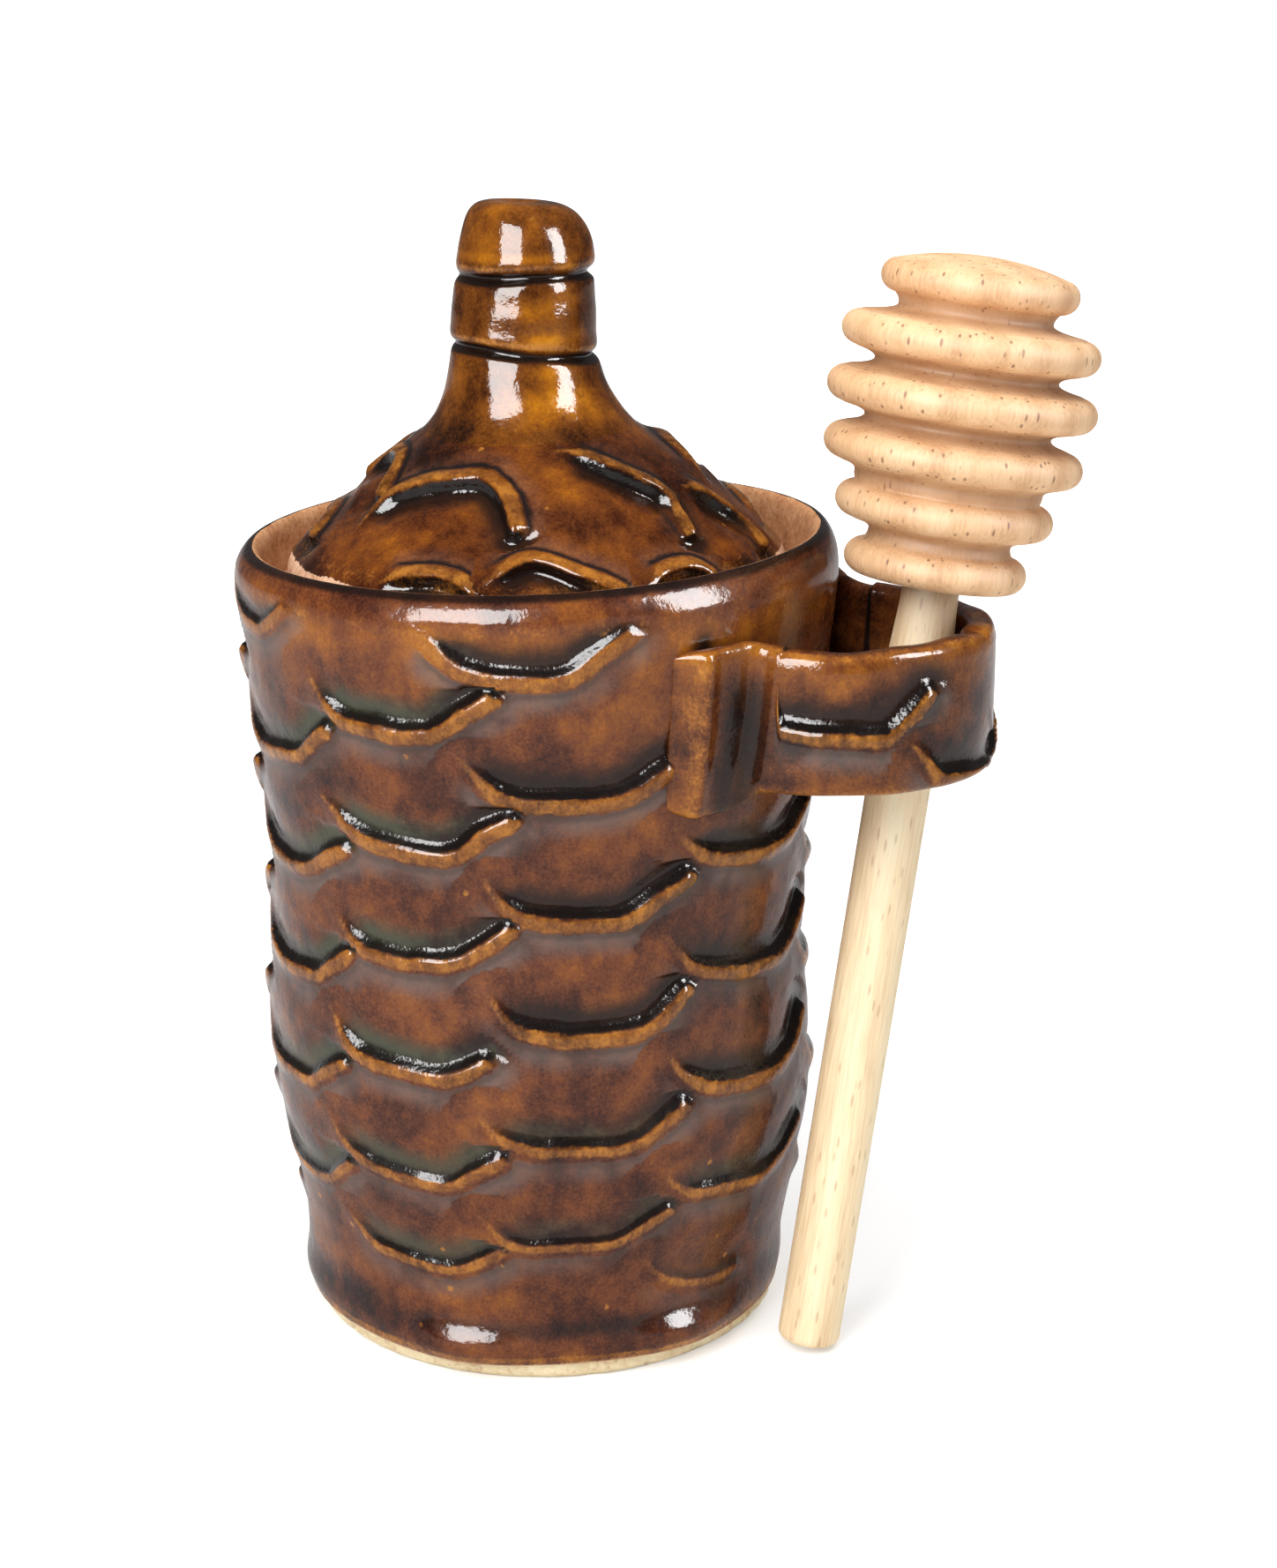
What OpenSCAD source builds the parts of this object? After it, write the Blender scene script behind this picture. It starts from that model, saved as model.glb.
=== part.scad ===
// Slab-built honey pot: a relief wall on a base slab, a loose lid that drops
// into the rim, and a side loop that holds a wooden honey dipper.
// Millimetres. Origin at the centre of the foot, +Z up, +X towards the loop.

/* [Pot] */
// Height of the rim above the table, at its mean level
rim_height = 112; // [100:1:125]
// Outer radius of the foot
foot_radius = 33.4; // [30:0.2:37]
// Outer radius of the belly, a third of the way up
belly_radius = 38.4; // [35:0.2:41]
// Outer radius of the waist, halfway up
waist_radius = 37.5; // [35:0.2:41]
// Outer radius just under the rim
rim_radius = 41.6; // [39:0.2:45]
// Thickness of the slab that the wall is rolled from
wall_thickness = 4; // [3:0.1:5]
// Thickness of the base slab
base_thickness = 4; // [3:0.1:6]
// Radius of the coil smoothed into the corner between base and wall
corner_coil = 3; // [2:0.1:4]
// How far the hand-cut rim rises and falls round its circle
rim_wave = 1.2; // [0:0.1:2]

/* [Ledge] */
// Depth of the lid's seat below the rim
seat_depth = 8.3; // [7:0.1:10]
// How far the ledge reaches in from the wall
ledge_reach = 6; // [4.5:0.1:8]
// Thickness of the ledge at its inner edge
ledge_thickness = 2.6; // [2:0.1:4]

/* [Lid] */
// Gap round the lid, from its edge to the inside of the rim
lid_gap = 3.4; // [2:0.1:3.8]
// Height of the lid's raw edge
lid_edge_height = 4.2; // [3:0.1:6]
// Rise of the dome, from its edge to where its curve would peak
dome_rise = 24; // [18:0.5:30]
// Thickness of the dome
dome_thickness = 5; // [4:0.1:6]
// Clearance between the lid and its seat
seat_clearance = 0.25; // [0.15:0.05:0.5]

/* [Knob] */
// Height of the knob above the dome
knob_height = 27.3; // [22:0.1:34]
// Radius of the knob above its flare
knob_radius = 9.8; // [8:0.1:11]
// Radius of the knob's flared foot
knob_foot_radius = 12.5; // [11.5:0.1:14]
// Depth of the two grooves round the knob
knob_groove_depth = 0.7; // [0.3:0.1:1.2]
// How far the hand-pulled knob sits off the lid's centre
knob_shift = 1.1; // [0:0.1:2]

/* [Dipper loop] */
// Distance from the rim down to the strap's upper edge
loop_drop = 9; // [8:0.5:20]
// Distance from the pot's axis to the centre of the loop's round end
loop_reach = 42.5; // [42:0.1:46]
// Inner radius of the loop's round end
loop_radius = 17.3; // [15.5:0.1:19]
// Thickness of the strap
strap_thickness = 3.9; // [3:0.1:4.5]
// Height of the strap
strap_height = 19; // [14:0.5:24]
// How much taller the strap is where it is pressed on the wall
tab_flare = 3; // [1:0.1:4]
// Angle round the pot at which a pressed tab ends
tab_end_angle = 40; // [37:0.5:44]
// Thickness of the slip between a tab and the wall
slip_thickness = 0.15; // [0.1:0.05:0.3]

/* [Dipper] */
// Length of the dipper
dipper_length = 151; // [145:1:165]
// Diameter of the stick
stick_diameter = 8.6; // [7:0.1:9.5]
// Diameter of the stick where it enters the head
stick_neck_diameter = 7.6; // [6:0.1:8]
// Diameter of the head's widest disc
head_diameter = 35.8; // [30:0.2:37]
// Distance from one disc of the head to the next
disc_pitch = 7.4; // [6.8:0.1:8]
// Thickness of a disc
disc_thickness = 4.5; // [3.5:0.1:5.5]
// Clearance between the leaning stick and the strap
lean_clearance = 0.3; // [0.2:0.05:0.6]

/* [Relief] */
// Number of columns of scales round the wall
column_count = 10; // [8:2:12]
// Distance from one row of scales to the next
row_pitch = 15.5; // [13:0.5:18]
// How far a scale's lower lip stands out
lip_height = 0.8; // [0.4:0.1:1.4]
// Depth of the hollow above a lip
pool_depth = 0.8; // [0.2:0.1:1.2]
// How far a lip's ends rise above its middle
lip_rise = 5.5; // [3:0.5:6.5]

/* [Hidden] */
$fn = 72;

glaze = [0.38, 0.19, 0.05];
bare_clay = [0.78, 0.55, 0.38];
beech = [0.87, 0.66, 0.43];

joint_gap = 0.06;                       // slip line between pieces of one body
belly_z = 0.34 * rim_height;
waist_z = 0.53 * rim_height;
shoulder_drop = 4;                      // the wall is widest this far below the rim
shoulder_z = rim_height - shoulder_drop;
wave_direction = 23;                    // the rim is highest on this side

column_angle = 360 / column_count;
first_column_angle = -60;
// Places of the vertical lines across one column, as shares of its width.
// The last one lies on the border to the next column, where the wall is plain
line_offsets = [-0.47, -0.39, -0.3, -0.1, 0.1, 0.3, 0.39, 0.47, 0.5];
lines_per_column = len(line_offsets);
line_count = column_count * lines_per_column;
flat_share = 0.31;                      // half the flat middle of a lip
// How far each hand-pressed column of scales sits below the highest place,
// and how far its rows are drawn out
hand_drop = [1.9, 13.6, 4, 12, 2, 10, 1, 9.5, 0.4, 9.2];
hand_stretch = [1.033, 1, 1, 1, 1, 1, 1, 1, 0.985, 0.99];
lip_tilt = 1.6;                         // a lip's left end sits a little higher
top_lip_z = rim_height - 10.5;
lip_foot = 2.3;                         // from a lip down to the plain wall
pool_place = 1.5;                       // from a lip up to the hollow's bottom
pool_slope = 3.9;                       // from a lip up to where the hollow runs out
pool_length = 8;                        // from a lip up to the plain wall
pool_share = 0.6;                       // depth left where the hollow runs out
lowest_lip_z = base_thickness + lip_foot + 3;
row_count = floor((top_lip_z - max(hand_drop) - lowest_lip_z) / row_pitch) + 1;
widest_line_step = 0.2 * column_angle;

seat_z = rim_height - seat_depth;
ledge_low_z = seat_z - ledge_thickness - ledge_reach;
rim_inner_radius = rim_radius - wall_thickness;
lid_radius = rim_inner_radius - lid_gap;
lid_bottom_z = seat_z + seat_clearance;
lid_edge_z = lid_bottom_z + lid_edge_height;
lid_rim_width = 4;                      // flat ring under the lid that rests on the ledge
knob_direction = 203;
knob_seat_z = dome_z(knob_foot_radius);
knob_flare_height = 7;
knob_top_radius = 8.9;
knob_groove_width = 1.5;
knob_crown = 5;                         // height of the rounded top
knob_dimple = 0.8;

strap_top_z = rim_height - loop_drop;
strap_low_z = strap_top_z - strap_height;
strap_edge = 1.3;                       // rounding of the strap's edges
root_fillet = 2.7;                      // bend where the strap turns onto the wall
strap_middle = strap_thickness / 2;
arm_y = loop_radius + strap_middle;

stick_radius = stick_diameter / 2;
stick_end_rounding = 1.2;
table_clearance = 0.3;
lean_direction = 28;
lean_reach = loop_radius - stick_radius - lean_clearance;
foot_offset = [0.1, 5];                 // where the foot stands in the loop's round end
stick_foot = [loop_reach + foot_offset.x, foot_offset.y - lean_reach];
lean_point = [loop_reach + lean_reach * cos(lean_direction), lean_reach * sin(lean_direction)];
lean_vector = lean_point - stick_foot;
lean_tilt = atan2(norm(lean_vector), strap_top_z);
lean_heading = atan2(lean_vector.y, lean_vector.x);
stick_lift = table_clearance + (stick_radius - stick_end_rounding) * sin(lean_tilt)
           + stick_end_rounding * (1 - cos(lean_tilt));
// Disc diameters from the lowest up, as shares of the widest, and the necks between
disc_shares = [0.68, 0.81, 0.96, 1, 0.955, 0.73];
neck_shares = [0.53, 0.7, 0.69, 0.68, 0.57];
disc_count = len(disc_shares);
cap_rise = 1.6;                         // crown on the topmost disc
head_length = (disc_count - 1) * disc_pitch + disc_thickness + cap_rise;
head_start = dipper_length - head_length;
// A stick too short for the loop hangs by its head on the strap
head_rest = (stick_radius + lean_clearance + strap_thickness) * tan(lean_tilt) + 0.3;
hang = max(0, strap_top_z / cos(lean_tilt) + head_rest - head_start - stick_lift);
bore_depth = 14;
stick_shoulder = 12;                    // the stick narrows over this length below the head

function ease(t) = (1 - cos(180 * min(max(t, 0), 1))) / 2;
function mix(a, b, t) = a + (b - a) * t;
function half_turn(angle) = ((angle % 360) + 540) % 360 - 180;

// Outer radius of the plain wall at a height
function wall_radius(z) =
    z < belly_z ? mix(foot_radius, belly_radius, ease(z / belly_z)) :
    z < waist_z ? mix(belly_radius, waist_radius, ease((z - belly_z) / (waist_z - belly_z))) :
    mix(waist_radius, rim_radius, ease((z - waist_z) / (shoulder_z - waist_z)));
function inner_radius(z) = wall_radius(z) - wall_thickness;
// Radius of a round piece that fits inside the faceted inner wall
function fitted_radius(z) = inner_radius(z) * cos(widest_line_step / 2) - joint_gap;
function wave(angle, z) =
    rim_wave * cos(angle - wave_direction) * ease((z - seat_z) / (rim_height - seat_z));

// Relief: a lip is flat in the middle of its column and its two ends slant up
function line_angle(i) = first_column_angle
    + (floor(i / lines_per_column) + line_offsets[i % lines_per_column]) * column_angle;
function rise_at(share) = lip_rise * max(0, abs(share) - flat_share) / (0.55 - flat_share);
function fade_at(share) = 1 - ease((abs(share) - 0.4) / 0.14);
// The wall is smoothed by hand round the loop
function smoothed(angle, z) =
    abs(half_turn(angle)) < tab_end_angle + 9 && z > strap_low_z - tab_flare - 3;

function lip_stations(angle, share, z_lip) =
    let (strength = smoothed(angle, z_lip) ? 0 : fade_at(share), ceiling = shoulder_z - 0.6)
    [[z_lip - lip_foot, 0], [z_lip - 0.1, lip_height * strength],
     [min(z_lip + pool_place, ceiling - 1.2), -pool_depth * strength],
     [min(z_lip + pool_slope, ceiling - 0.6), -pool_share * pool_depth * strength],
     [min(z_lip + pool_length, ceiling), 0]];
function column_stations(column, share) =
    let (angle = first_column_angle + (column + share) * column_angle,
         top = top_lip_z - hand_drop[column % len(hand_drop)] + rise_at(share) - lip_tilt * share,
         pitch = row_pitch * hand_stretch[column % len(hand_stretch)])
    [for (row = [row_count - 1 : -1 : 0]) each lip_stations(angle, share, top - row * pitch)];
// Halfway between the stations of two columns that meet, with no relief
function border_stations(column) =
    let (left = column_stations(column, 0.47), right = column_stations(column + 1, -0.47))
    [for (k = [0 : len(left) - 1]) [(left[k][0] + right[k][0]) / 2, 0]];

// One vertical line of the wall, up the outside, over the rim and down the inside
function wall_line(i) =
    let (column = floor(i / lines_per_column),
         place = i % lines_per_column,
         angle = line_angle(i),
         relief = place == lines_per_column - 1 ? border_stations(column)
                : column_stations(column, line_offsets[place]),
         first = relief[0][0],
         outside = concat([[base_thickness, 0], [(base_thickness + first) / 2, 0]],
                          relief, [[shoulder_z, 0]]),
         rim = [[rim_radius - 0.15, rim_height - 1.9], [rim_radius - 0.9, rim_height - 0.55],
                [rim_radius - wall_thickness / 2, rim_height],
                [rim_inner_radius + 0.7, rim_height - 0.6], [rim_inner_radius, rim_height - 2.2]],
         inside = [for (z = [seat_z, ledge_low_z, waist_z + 22, waist_z, belly_z, belly_z / 2,
                             base_thickness])
                   [inner_radius(z), z]])
    concat([for (s = outside) polar(angle, wall_radius(s[0]) + s[1], s[0])],
           [for (s = concat(rim, inside)) polar(angle, s[0], s[1])]);
function polar(angle, r, z) = [r * cos(angle), r * sin(angle), z + wave(angle, z)];

// Triangles of a grid of lines, each with the same number of points
function flatten(lists) = [for (list = lists) each list];
function split_quad(p, a, b, c, d) =
    norm(p[a] - p[c]) < norm(p[b] - p[d]) ? [[a, b, c], [a, c, d]] : [[a, b, d], [b, c, d]];
function grid_faces(p, lines, stations, wrap_lines, wrap_stations) =
    [for (i = [0 : lines - (wrap_lines ? 1 : 2)], k = [0 : stations - (wrap_stations ? 1 : 2)])
     let (i2 = (i + 1) % lines, k2 = (k + 1) % stations)
     each split_quad(p, i * stations + k, i * stations + k2, i2 * stations + k2, i2 * stations + k)];

module pot_wall() {
    lines = [for (i = [0 : line_count - 1]) wall_line(i)];
    points = flatten(lines);
    color(glaze)
        polyhedron(points, grid_faces(points, line_count, len(lines[0]), true, true));
}

module pot_base() {
    edge = 0.8;
    coil_steps = 4;
    inside = fitted_radius(base_thickness);
    coil = [for (k = [0 : coil_steps])
            let (a = 90 * k / coil_steps)
            [inside - corner_coil * (1 - sin(a)), base_thickness + corner_coil * (1 - cos(a))]];
    outline = concat([[0, 0], [foot_radius - edge, 0], [foot_radius, edge],
                      [foot_radius, base_thickness], [inside, base_thickness]],
                     [for (k = [coil_steps : -1 : 0]) coil[k]],
                     [[0, base_thickness]]);
    color(bare_clay) rotate_extrude() polygon(outline);
}

module lid_ledge() {
    ledge_inside = inner_radius(seat_z) - ledge_reach;
    rounding = 0.7;
    outline = [[ledge_inside + rounding, seat_z], [ledge_inside, seat_z - rounding],
               [ledge_inside, seat_z - ledge_thickness],
               [fitted_radius(ledge_low_z) - rounding, ledge_low_z],
               [fitted_radius(ledge_low_z), ledge_low_z],
               [fitted_radius(seat_z), seat_z]];
    color(glaze) rotate_extrude() polygon(outline);
}

// Outline of the strap's cross-section: distance out from its inner face,
// height above its lower edge, and 1 where the relief shows
function strap_section(thick, high) =
    let (e = min(strap_edge, thick / 2.5), n = 0.3 * e, rows = 6, inner_rows = 3)
    concat([for (k = [0 : inner_rows]) [0, mix(e, high - e, k / inner_rows), 0]],
           [[n, high - n, 0], [e, high, 0], [thick - e, high, 0], [thick - n, high - n, 0]],
           [for (k = [rows : -1 : 0]) [thick, mix(e, high - e, k / rows), 1]],
           [[thick - n, n, 0], [thick - e, 0, 0], [e, 0, 0], [n, n, 0]]);

// Stretches of half a strap: round end, straight arm, bend, tab on the wall
arc_steps = 12;
bend_steps = 4;
tab_steps = 4;
half_strap = concat([for (k = [1 : arc_steps]) [0, k / arc_steps]], [[1, 1]],
                    [for (k = [1 : bend_steps]) [2, k / bend_steps]],
                    [for (k = [1 : tab_steps]) [3, k / tab_steps]]);

function bend_x(z) = sqrt(pow(wall_radius(z) + slip_thickness + strap_middle + root_fillet, 2)
                        - pow(arm_y + root_fillet, 2));
function bend_angle(z) = atan2(arm_y + root_fillet, bend_x(z));
function strap_point(stretch, t, depth, z) =
    stretch == 0 ? [loop_reach + (loop_radius + depth) * cos(90 * t),
                    (loop_radius + depth) * sin(90 * t), z] :
    stretch == 1 ? [mix(loop_reach, bend_x(z), t), loop_radius + depth, z] :
    stretch == 2 ? let (turn = -90 - t * (90 - bend_angle(z)),
                        r = root_fillet + strap_middle - depth)
                   [bend_x(z) + r * cos(turn), arm_y + root_fillet + r * sin(turn), z] :
    let (angle = mix(bend_angle(z), tab_end_angle, t),
         r = wall_radius(z) + slip_thickness + depth)
    [r * cos(angle), r * sin(angle), z];

// One ring of the strap, side is 1 or -1
function strap_ring(stretch, t, side) =
    let (flare = stretch < 2 ? 0 : stretch == 2 ? ease(t) : 1,
         ending = stretch == 3 ? max(0, t * tab_steps - tab_steps + 1) : 0,
         thick = strap_thickness * (1 - 0.45 * ending),
         low = strap_low_z - tab_flare * flare + 1.2 * ending,
         high = strap_height + 1.3 * tab_flare * flare - 2.4 * ending,
         along = stretch == 0 ? (loop_radius + strap_thickness) * t * PI / 2
               : (loop_radius + strap_thickness) * PI / 2 + 4 * (stretch - 1 + t))
    [for (s = strap_section(thick, high))
     let (z = low + s[1],
          p = strap_point(stretch, t, s[0] + s[2] * strap_relief(along, z - strap_low_z), z))
     [p.x, side * p.y, p.z]];

// A scale pressed into each side of the strap, centred this far along it
scale_place = 27;
scale_width = 24;
function strap_relief(along, up) =
    let (share = (along - scale_place) / scale_width,
         edge = up - strap_height * 0.56 - rise_at(share))
    fade_at(share) * (abs(edge) < lip_foot ? lip_height * cos(90 * edge / lip_foot) :
                      edge > 0 && edge < pool_length ? -pool_share * pool_depth
                      * sin(180 * (edge - lip_foot) / (pool_length - lip_foot)) : 0);

module dipper_loop() {
    half_count = len(half_strap);
    rings = concat([for (k = [half_count - 1 : -1 : 0]) strap_ring(half_strap[k][0], half_strap[k][1], -1)],
                   [strap_ring(0, 0, 1)],
                   [for (s = half_strap) strap_ring(s[0], s[1], 1)]);
    points = flatten(rings);
    ring_size = len(rings[0]);
    last = len(points) - 1;
    sides = grid_faces(points, len(rings), ring_size, false, true);
    color(glaze)
        polyhedron(points, concat(sides, [[for (k = [ring_size - 1 : -1 : 0]) k]],
                                  [[for (k = [0 : ring_size - 1]) last - ring_size + 1 + k]]));
}

// Lid: a crowned dome with two rings of scales, their lips turned to the knob.
// Each hand-pressed lip has its first and last angle, then its distance from the
// centre at its left end, at both ends of its flat middle and at its right end,
// as shares of the lid's radius
lid_lines = 90;
inner_lips = [[-128, -78, 0.87, 0.7, 0.58, 0.76], [-78, -16, 0.55, 0.53, 0.53, 0.76],
              [-16, 8, 0.7, 0.73, 0.78, 0.93], [8, 56, 0.69, 0.55, 0.55, 0.69],
              [56, 104, 0.69, 0.55, 0.55, 0.69], [104, 152, 0.69, 0.55, 0.55, 0.69],
              [152, 192, 0.69, 0.55, 0.55, 0.69], [192, 232, 0.69, 0.55, 0.55, 0.69]];
outer_lips = [[-112, -82, 0.92, 0.88, 0.88, 0.93], [-82, -42, 0.9, 0.8, 0.8, 0.94],
              [-42, -17, 0.91, 0.88, 0.86, 0.93], [20, 52, 0.9, 0.81, 0.81, 0.9],
              [52, 85, 0.9, 0.81, 0.81, 0.9], [85, 118, 0.9, 0.81, 0.81, 0.9],
              [118, 151, 0.9, 0.81, 0.81, 0.9], [151, 183, 0.9, 0.81, 0.81, 0.9],
              [183, 216, 0.9, 0.81, 0.81, 0.9]];
lid_shoulder = lid_radius - 0.7;
station_step = 0.3;                     // least distance between two stations
function dome_z(r) = lid_edge_z + dome_rise * (1 - pow(r / lid_radius, 2));
// The lip of a ring that an angle falls on, as its distance out and its strength
function ring_lip(angle, lips, bare_radius) =
    let (found = [for (lip = lips, turn = [0, -360])
                  let (share = (angle + turn - lip[0]) / (lip[1] - lip[0]) - 0.5)
                  if (share >= -0.5 && share < 0.5)
                  [lid_radius * lookup(share, [[-0.5, lip[2]], [-0.25, lip[3]],
                                               [0.22, lip[4]], [0.5, lip[5]]]), fade_at(share)]])
    len(found) > 0 ? found[0] : [bare_radius, 0];
// Stations of a lip. The dome is steep near its edge, so they lie closer there
function lid_lip(lip) =
    let (r = lip[0], strength = lip[1], flatter = 1 / norm([1, 2 * dome_rise * r / pow(lid_radius, 2)]))
    [[r - lip_foot * flatter, 0], [r - 0.1, lip_height * strength],
     [r + pool_place * flatter, -pool_depth * strength],
     [r + pool_slope * flatter, -pool_share * pool_depth * strength],
     [r + pool_length * flatter, 0]];
// Puts stations in order, each a step out from the one before and all within the limit
function in_order(list, low, limit) =
    [for (k = 0, r = max(low, list[0][0]); k < len(list); k = k + 1,
          r = k < len(list) ? min(max(r + station_step, list[k][0]),
                                  limit - station_step * (len(list) - 1 - k)) : r)
     [r, list[k][1]]];
function knob_pull(r) = knob_shift * (1 - ease((r - knob_foot_radius) / 10));
function lid_point(angle, r, z) =
    [r * cos(angle) + knob_pull(r) * cos(knob_direction),
     r * sin(angle) + knob_pull(r) * sin(knob_direction), z];
function lid_line(angle) =
    let (inner = lid_lip(ring_lip(angle, inner_lips, 0.6 * lid_radius)),
         outer = lid_lip(ring_lip(angle, outer_lips, 0.9 * lid_radius)),
         both = concat([for (k = [0 : 3]) inner[k]], [[min(inner[4][0], outer[0][0]), 0]],
                       [for (k = [1 : 4]) outer[k]]),
         relief = in_order(both, knob_foot_radius + 1, lid_shoulder),
         hollow_radius = lid_radius - lid_rim_width)
    concat([lid_point(angle, knob_foot_radius, knob_seat_z)],
           [for (s = relief) lid_point(angle, s[0], dome_z(s[0]) + s[1])],
           [lid_point(angle, lid_radius, lid_edge_z - 0.6),
            lid_point(angle, lid_radius - 0.3, lid_bottom_z + 0.5),
            lid_point(angle, lid_radius - 0.8, lid_bottom_z),
            lid_point(angle, hollow_radius, lid_bottom_z)],
           [for (r = [hollow_radius - 2.5, 0.66 * lid_radius, 0.45 * lid_radius])
            lid_point(angle, r, dome_z(r) - dome_thickness)],
           [lid_point(angle, 0.2 * lid_radius, dome_z(0.45 * lid_radius) - dome_thickness + 2)]);

module lid_dome() {
    lines = [for (i = [0 : lid_lines - 1]) lid_line(360 * i / lid_lines)];
    points = flatten(lines);
    stations = len(lines[0]);
    top = [for (i = [0 : lid_lines - 1]) i * stations];
    ceiling = [for (i = [lid_lines - 1 : -1 : 0]) i * stations + stations - 1];
    color(glaze)
        polyhedron(points, concat(grid_faces(points, lid_lines, stations, true, false),
                                  [top], [ceiling]));
}

module lid_knob() {
    flare_steps = 6;
    crown_steps = 6;
    flare = [for (k = [0 : flare_steps]) let (a = 90 * k / flare_steps)
             [mix(knob_foot_radius, knob_radius, sin(a)), knob_flare_height * (1 - cos(a))]];
    shaft_top = knob_height - knob_crown;
    groove_heights = [knob_flare_height + 0.8, shaft_top - 4.3];
    grooves = [for (h = groove_heights)
               let (r = mix(knob_radius, knob_top_radius, (h - knob_flare_height)
                                             / (shaft_top - knob_flare_height)))
               each [[r, h - knob_groove_width / 2], [r - knob_groove_depth, h - 0.2],
                     [r - knob_groove_depth, h + 0.2], [r, h + knob_groove_width / 2]]];
    crown = [for (k = [0 : crown_steps]) let (a = 75 * k / crown_steps)
             [knob_top_radius * (0.45 + 0.55 * cos(a)), shaft_top + knob_crown * sin(a) / sin(75)]];
    color(glaze)
        translate([knob_shift * cos(knob_direction), knob_shift * sin(knob_direction),
                   knob_seat_z + joint_gap])
        rotate_extrude()
        polygon(concat([[0, 0]], flare, grooves, crown, [[0, knob_height - knob_dimple]]));
}

// The dipper stands on the table inside the loop and leans on the strap
module on_lean_axis() {
    translate([stick_foot.x, stick_foot.y, stick_lift])
        rotate([0, lean_tilt, lean_heading]) translate([0, 0, hang]) children();
}

module dipper_stick() {
    r = stick_radius;
    e = stick_end_rounding;
    neck = stick_neck_diameter / 2;
    tip = head_start + bore_depth - 0.5;
    rounding = [for (k = [0 : 4]) let (a = 22.5 * k) [r - e + e * sin(a), e - e * cos(a)]];
    color(beech) on_lean_axis() rotate_extrude()
        polygon(concat([[0, 0]], rounding,
                       [[r, head_start - stick_shoulder], [neck, head_start - 0.5],
                        [neck, tip], [0, tip]]));
}

function disc_outline(k) =
    let (r = disc_shares[k] * head_diameter / 2, s = k * disc_pitch,
         e = disc_thickness / 2, steps = 6)
    [for (j = [0 : steps]) let (a = -75 + 150 * j / steps)
     [r - e + e * cos(a), s + e + e * sin(a)]];
module dipper_head() {
    necks = [for (k = [0 : disc_count - 2]) neck_shares[k] * head_diameter / 2];
    outline = [for (k = [0 : disc_count - 1])
               each concat(disc_outline(k),
                           k < disc_count - 1 ? [[necks[k], (k + 0.5) * disc_pitch
                                                            + disc_thickness / 2]] : [])];
    bore_radius = stick_neck_diameter / 2 + 0.03;
    mouth = 0.45 * head_diameter / 2;
    top_disc = disc_shares[disc_count - 1] * head_diameter / 2;
    color(beech) on_lean_axis() translate([0, 0, head_start])
        rotate_extrude()
        polygon(concat([[bore_radius, 0], [mouth, 0]], outline,
                       [[top_disc * 0.5, head_length - 0.3], [0, head_length],
                        [0, bore_depth], [bore_radius, bore_depth]]));
}

pot_wall();
pot_base();
lid_ledge();
dipper_loop();
lid_dome();
lid_knob();
dipper_head();
dipper_stick();
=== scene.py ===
import math
import bpy
import bmesh
import numpy as np
from mathutils import Matrix, Vector


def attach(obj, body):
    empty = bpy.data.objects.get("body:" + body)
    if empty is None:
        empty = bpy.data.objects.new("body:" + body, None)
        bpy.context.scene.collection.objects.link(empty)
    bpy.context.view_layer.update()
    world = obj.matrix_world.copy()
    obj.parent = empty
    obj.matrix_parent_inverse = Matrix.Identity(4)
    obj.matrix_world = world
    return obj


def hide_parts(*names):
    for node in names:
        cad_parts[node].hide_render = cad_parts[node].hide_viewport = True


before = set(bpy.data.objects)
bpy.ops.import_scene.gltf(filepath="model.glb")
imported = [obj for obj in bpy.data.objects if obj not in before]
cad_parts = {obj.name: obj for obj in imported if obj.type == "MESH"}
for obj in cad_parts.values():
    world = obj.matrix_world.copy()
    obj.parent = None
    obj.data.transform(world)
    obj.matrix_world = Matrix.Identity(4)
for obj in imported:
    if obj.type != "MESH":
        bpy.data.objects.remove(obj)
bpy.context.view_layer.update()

# Shapes are worked out in millimetres and written to the meshes in metres
mm = 0.001


# Small helpers


def eased(t):
    return (1 - np.cos(np.pi * np.clip(t, 0, 1))) / 2


def blended(a, b, t):
    return a + (b - a) * t


def bell(x, middle, width):
    return np.exp(-((x - middle) / width) ** 2)


def arc(x, y, radius, angles):
    return [(x + radius * math.cos(math.radians(t)), y + radius * math.sin(math.radians(t))) for t in angles]


def polarPoints(a, r, z):
    # points from an angle in degrees, a radius and a height
    return np.stack([r * np.cos(np.radians(a)), r * np.sin(np.radians(a)), z], -1)


def roundGrid(around, *columns):
    # the angle, and the value of each column, at every place of a turned skin
    angle = np.arange(around) * 360 / around - 180
    grids = [np.meshgrid(angle, column, indexing="ij") for column in columns]
    return [grids[0][0]] + [grid[1] for grid in grids]


def softCurve(points, spread=2.5):
    # a smooth line through measured (z, radius) pairs
    points = np.array(sorted(points), float)
    fine = np.arange(points[0, 0] - 20, points[-1, 0] + 20, 0.25)
    values = np.interp(fine, points[:, 0], points[:, 1])
    kernel = np.exp(-0.5 * (np.arange(-40, 41) * 0.25 / spread) ** 2)
    padded = np.pad(values, 40, mode="edge")
    smooth = np.convolve(padded, kernel / kernel.sum(), mode="valid")
    return lambda z: np.interp(z, fine, smooth)


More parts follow.
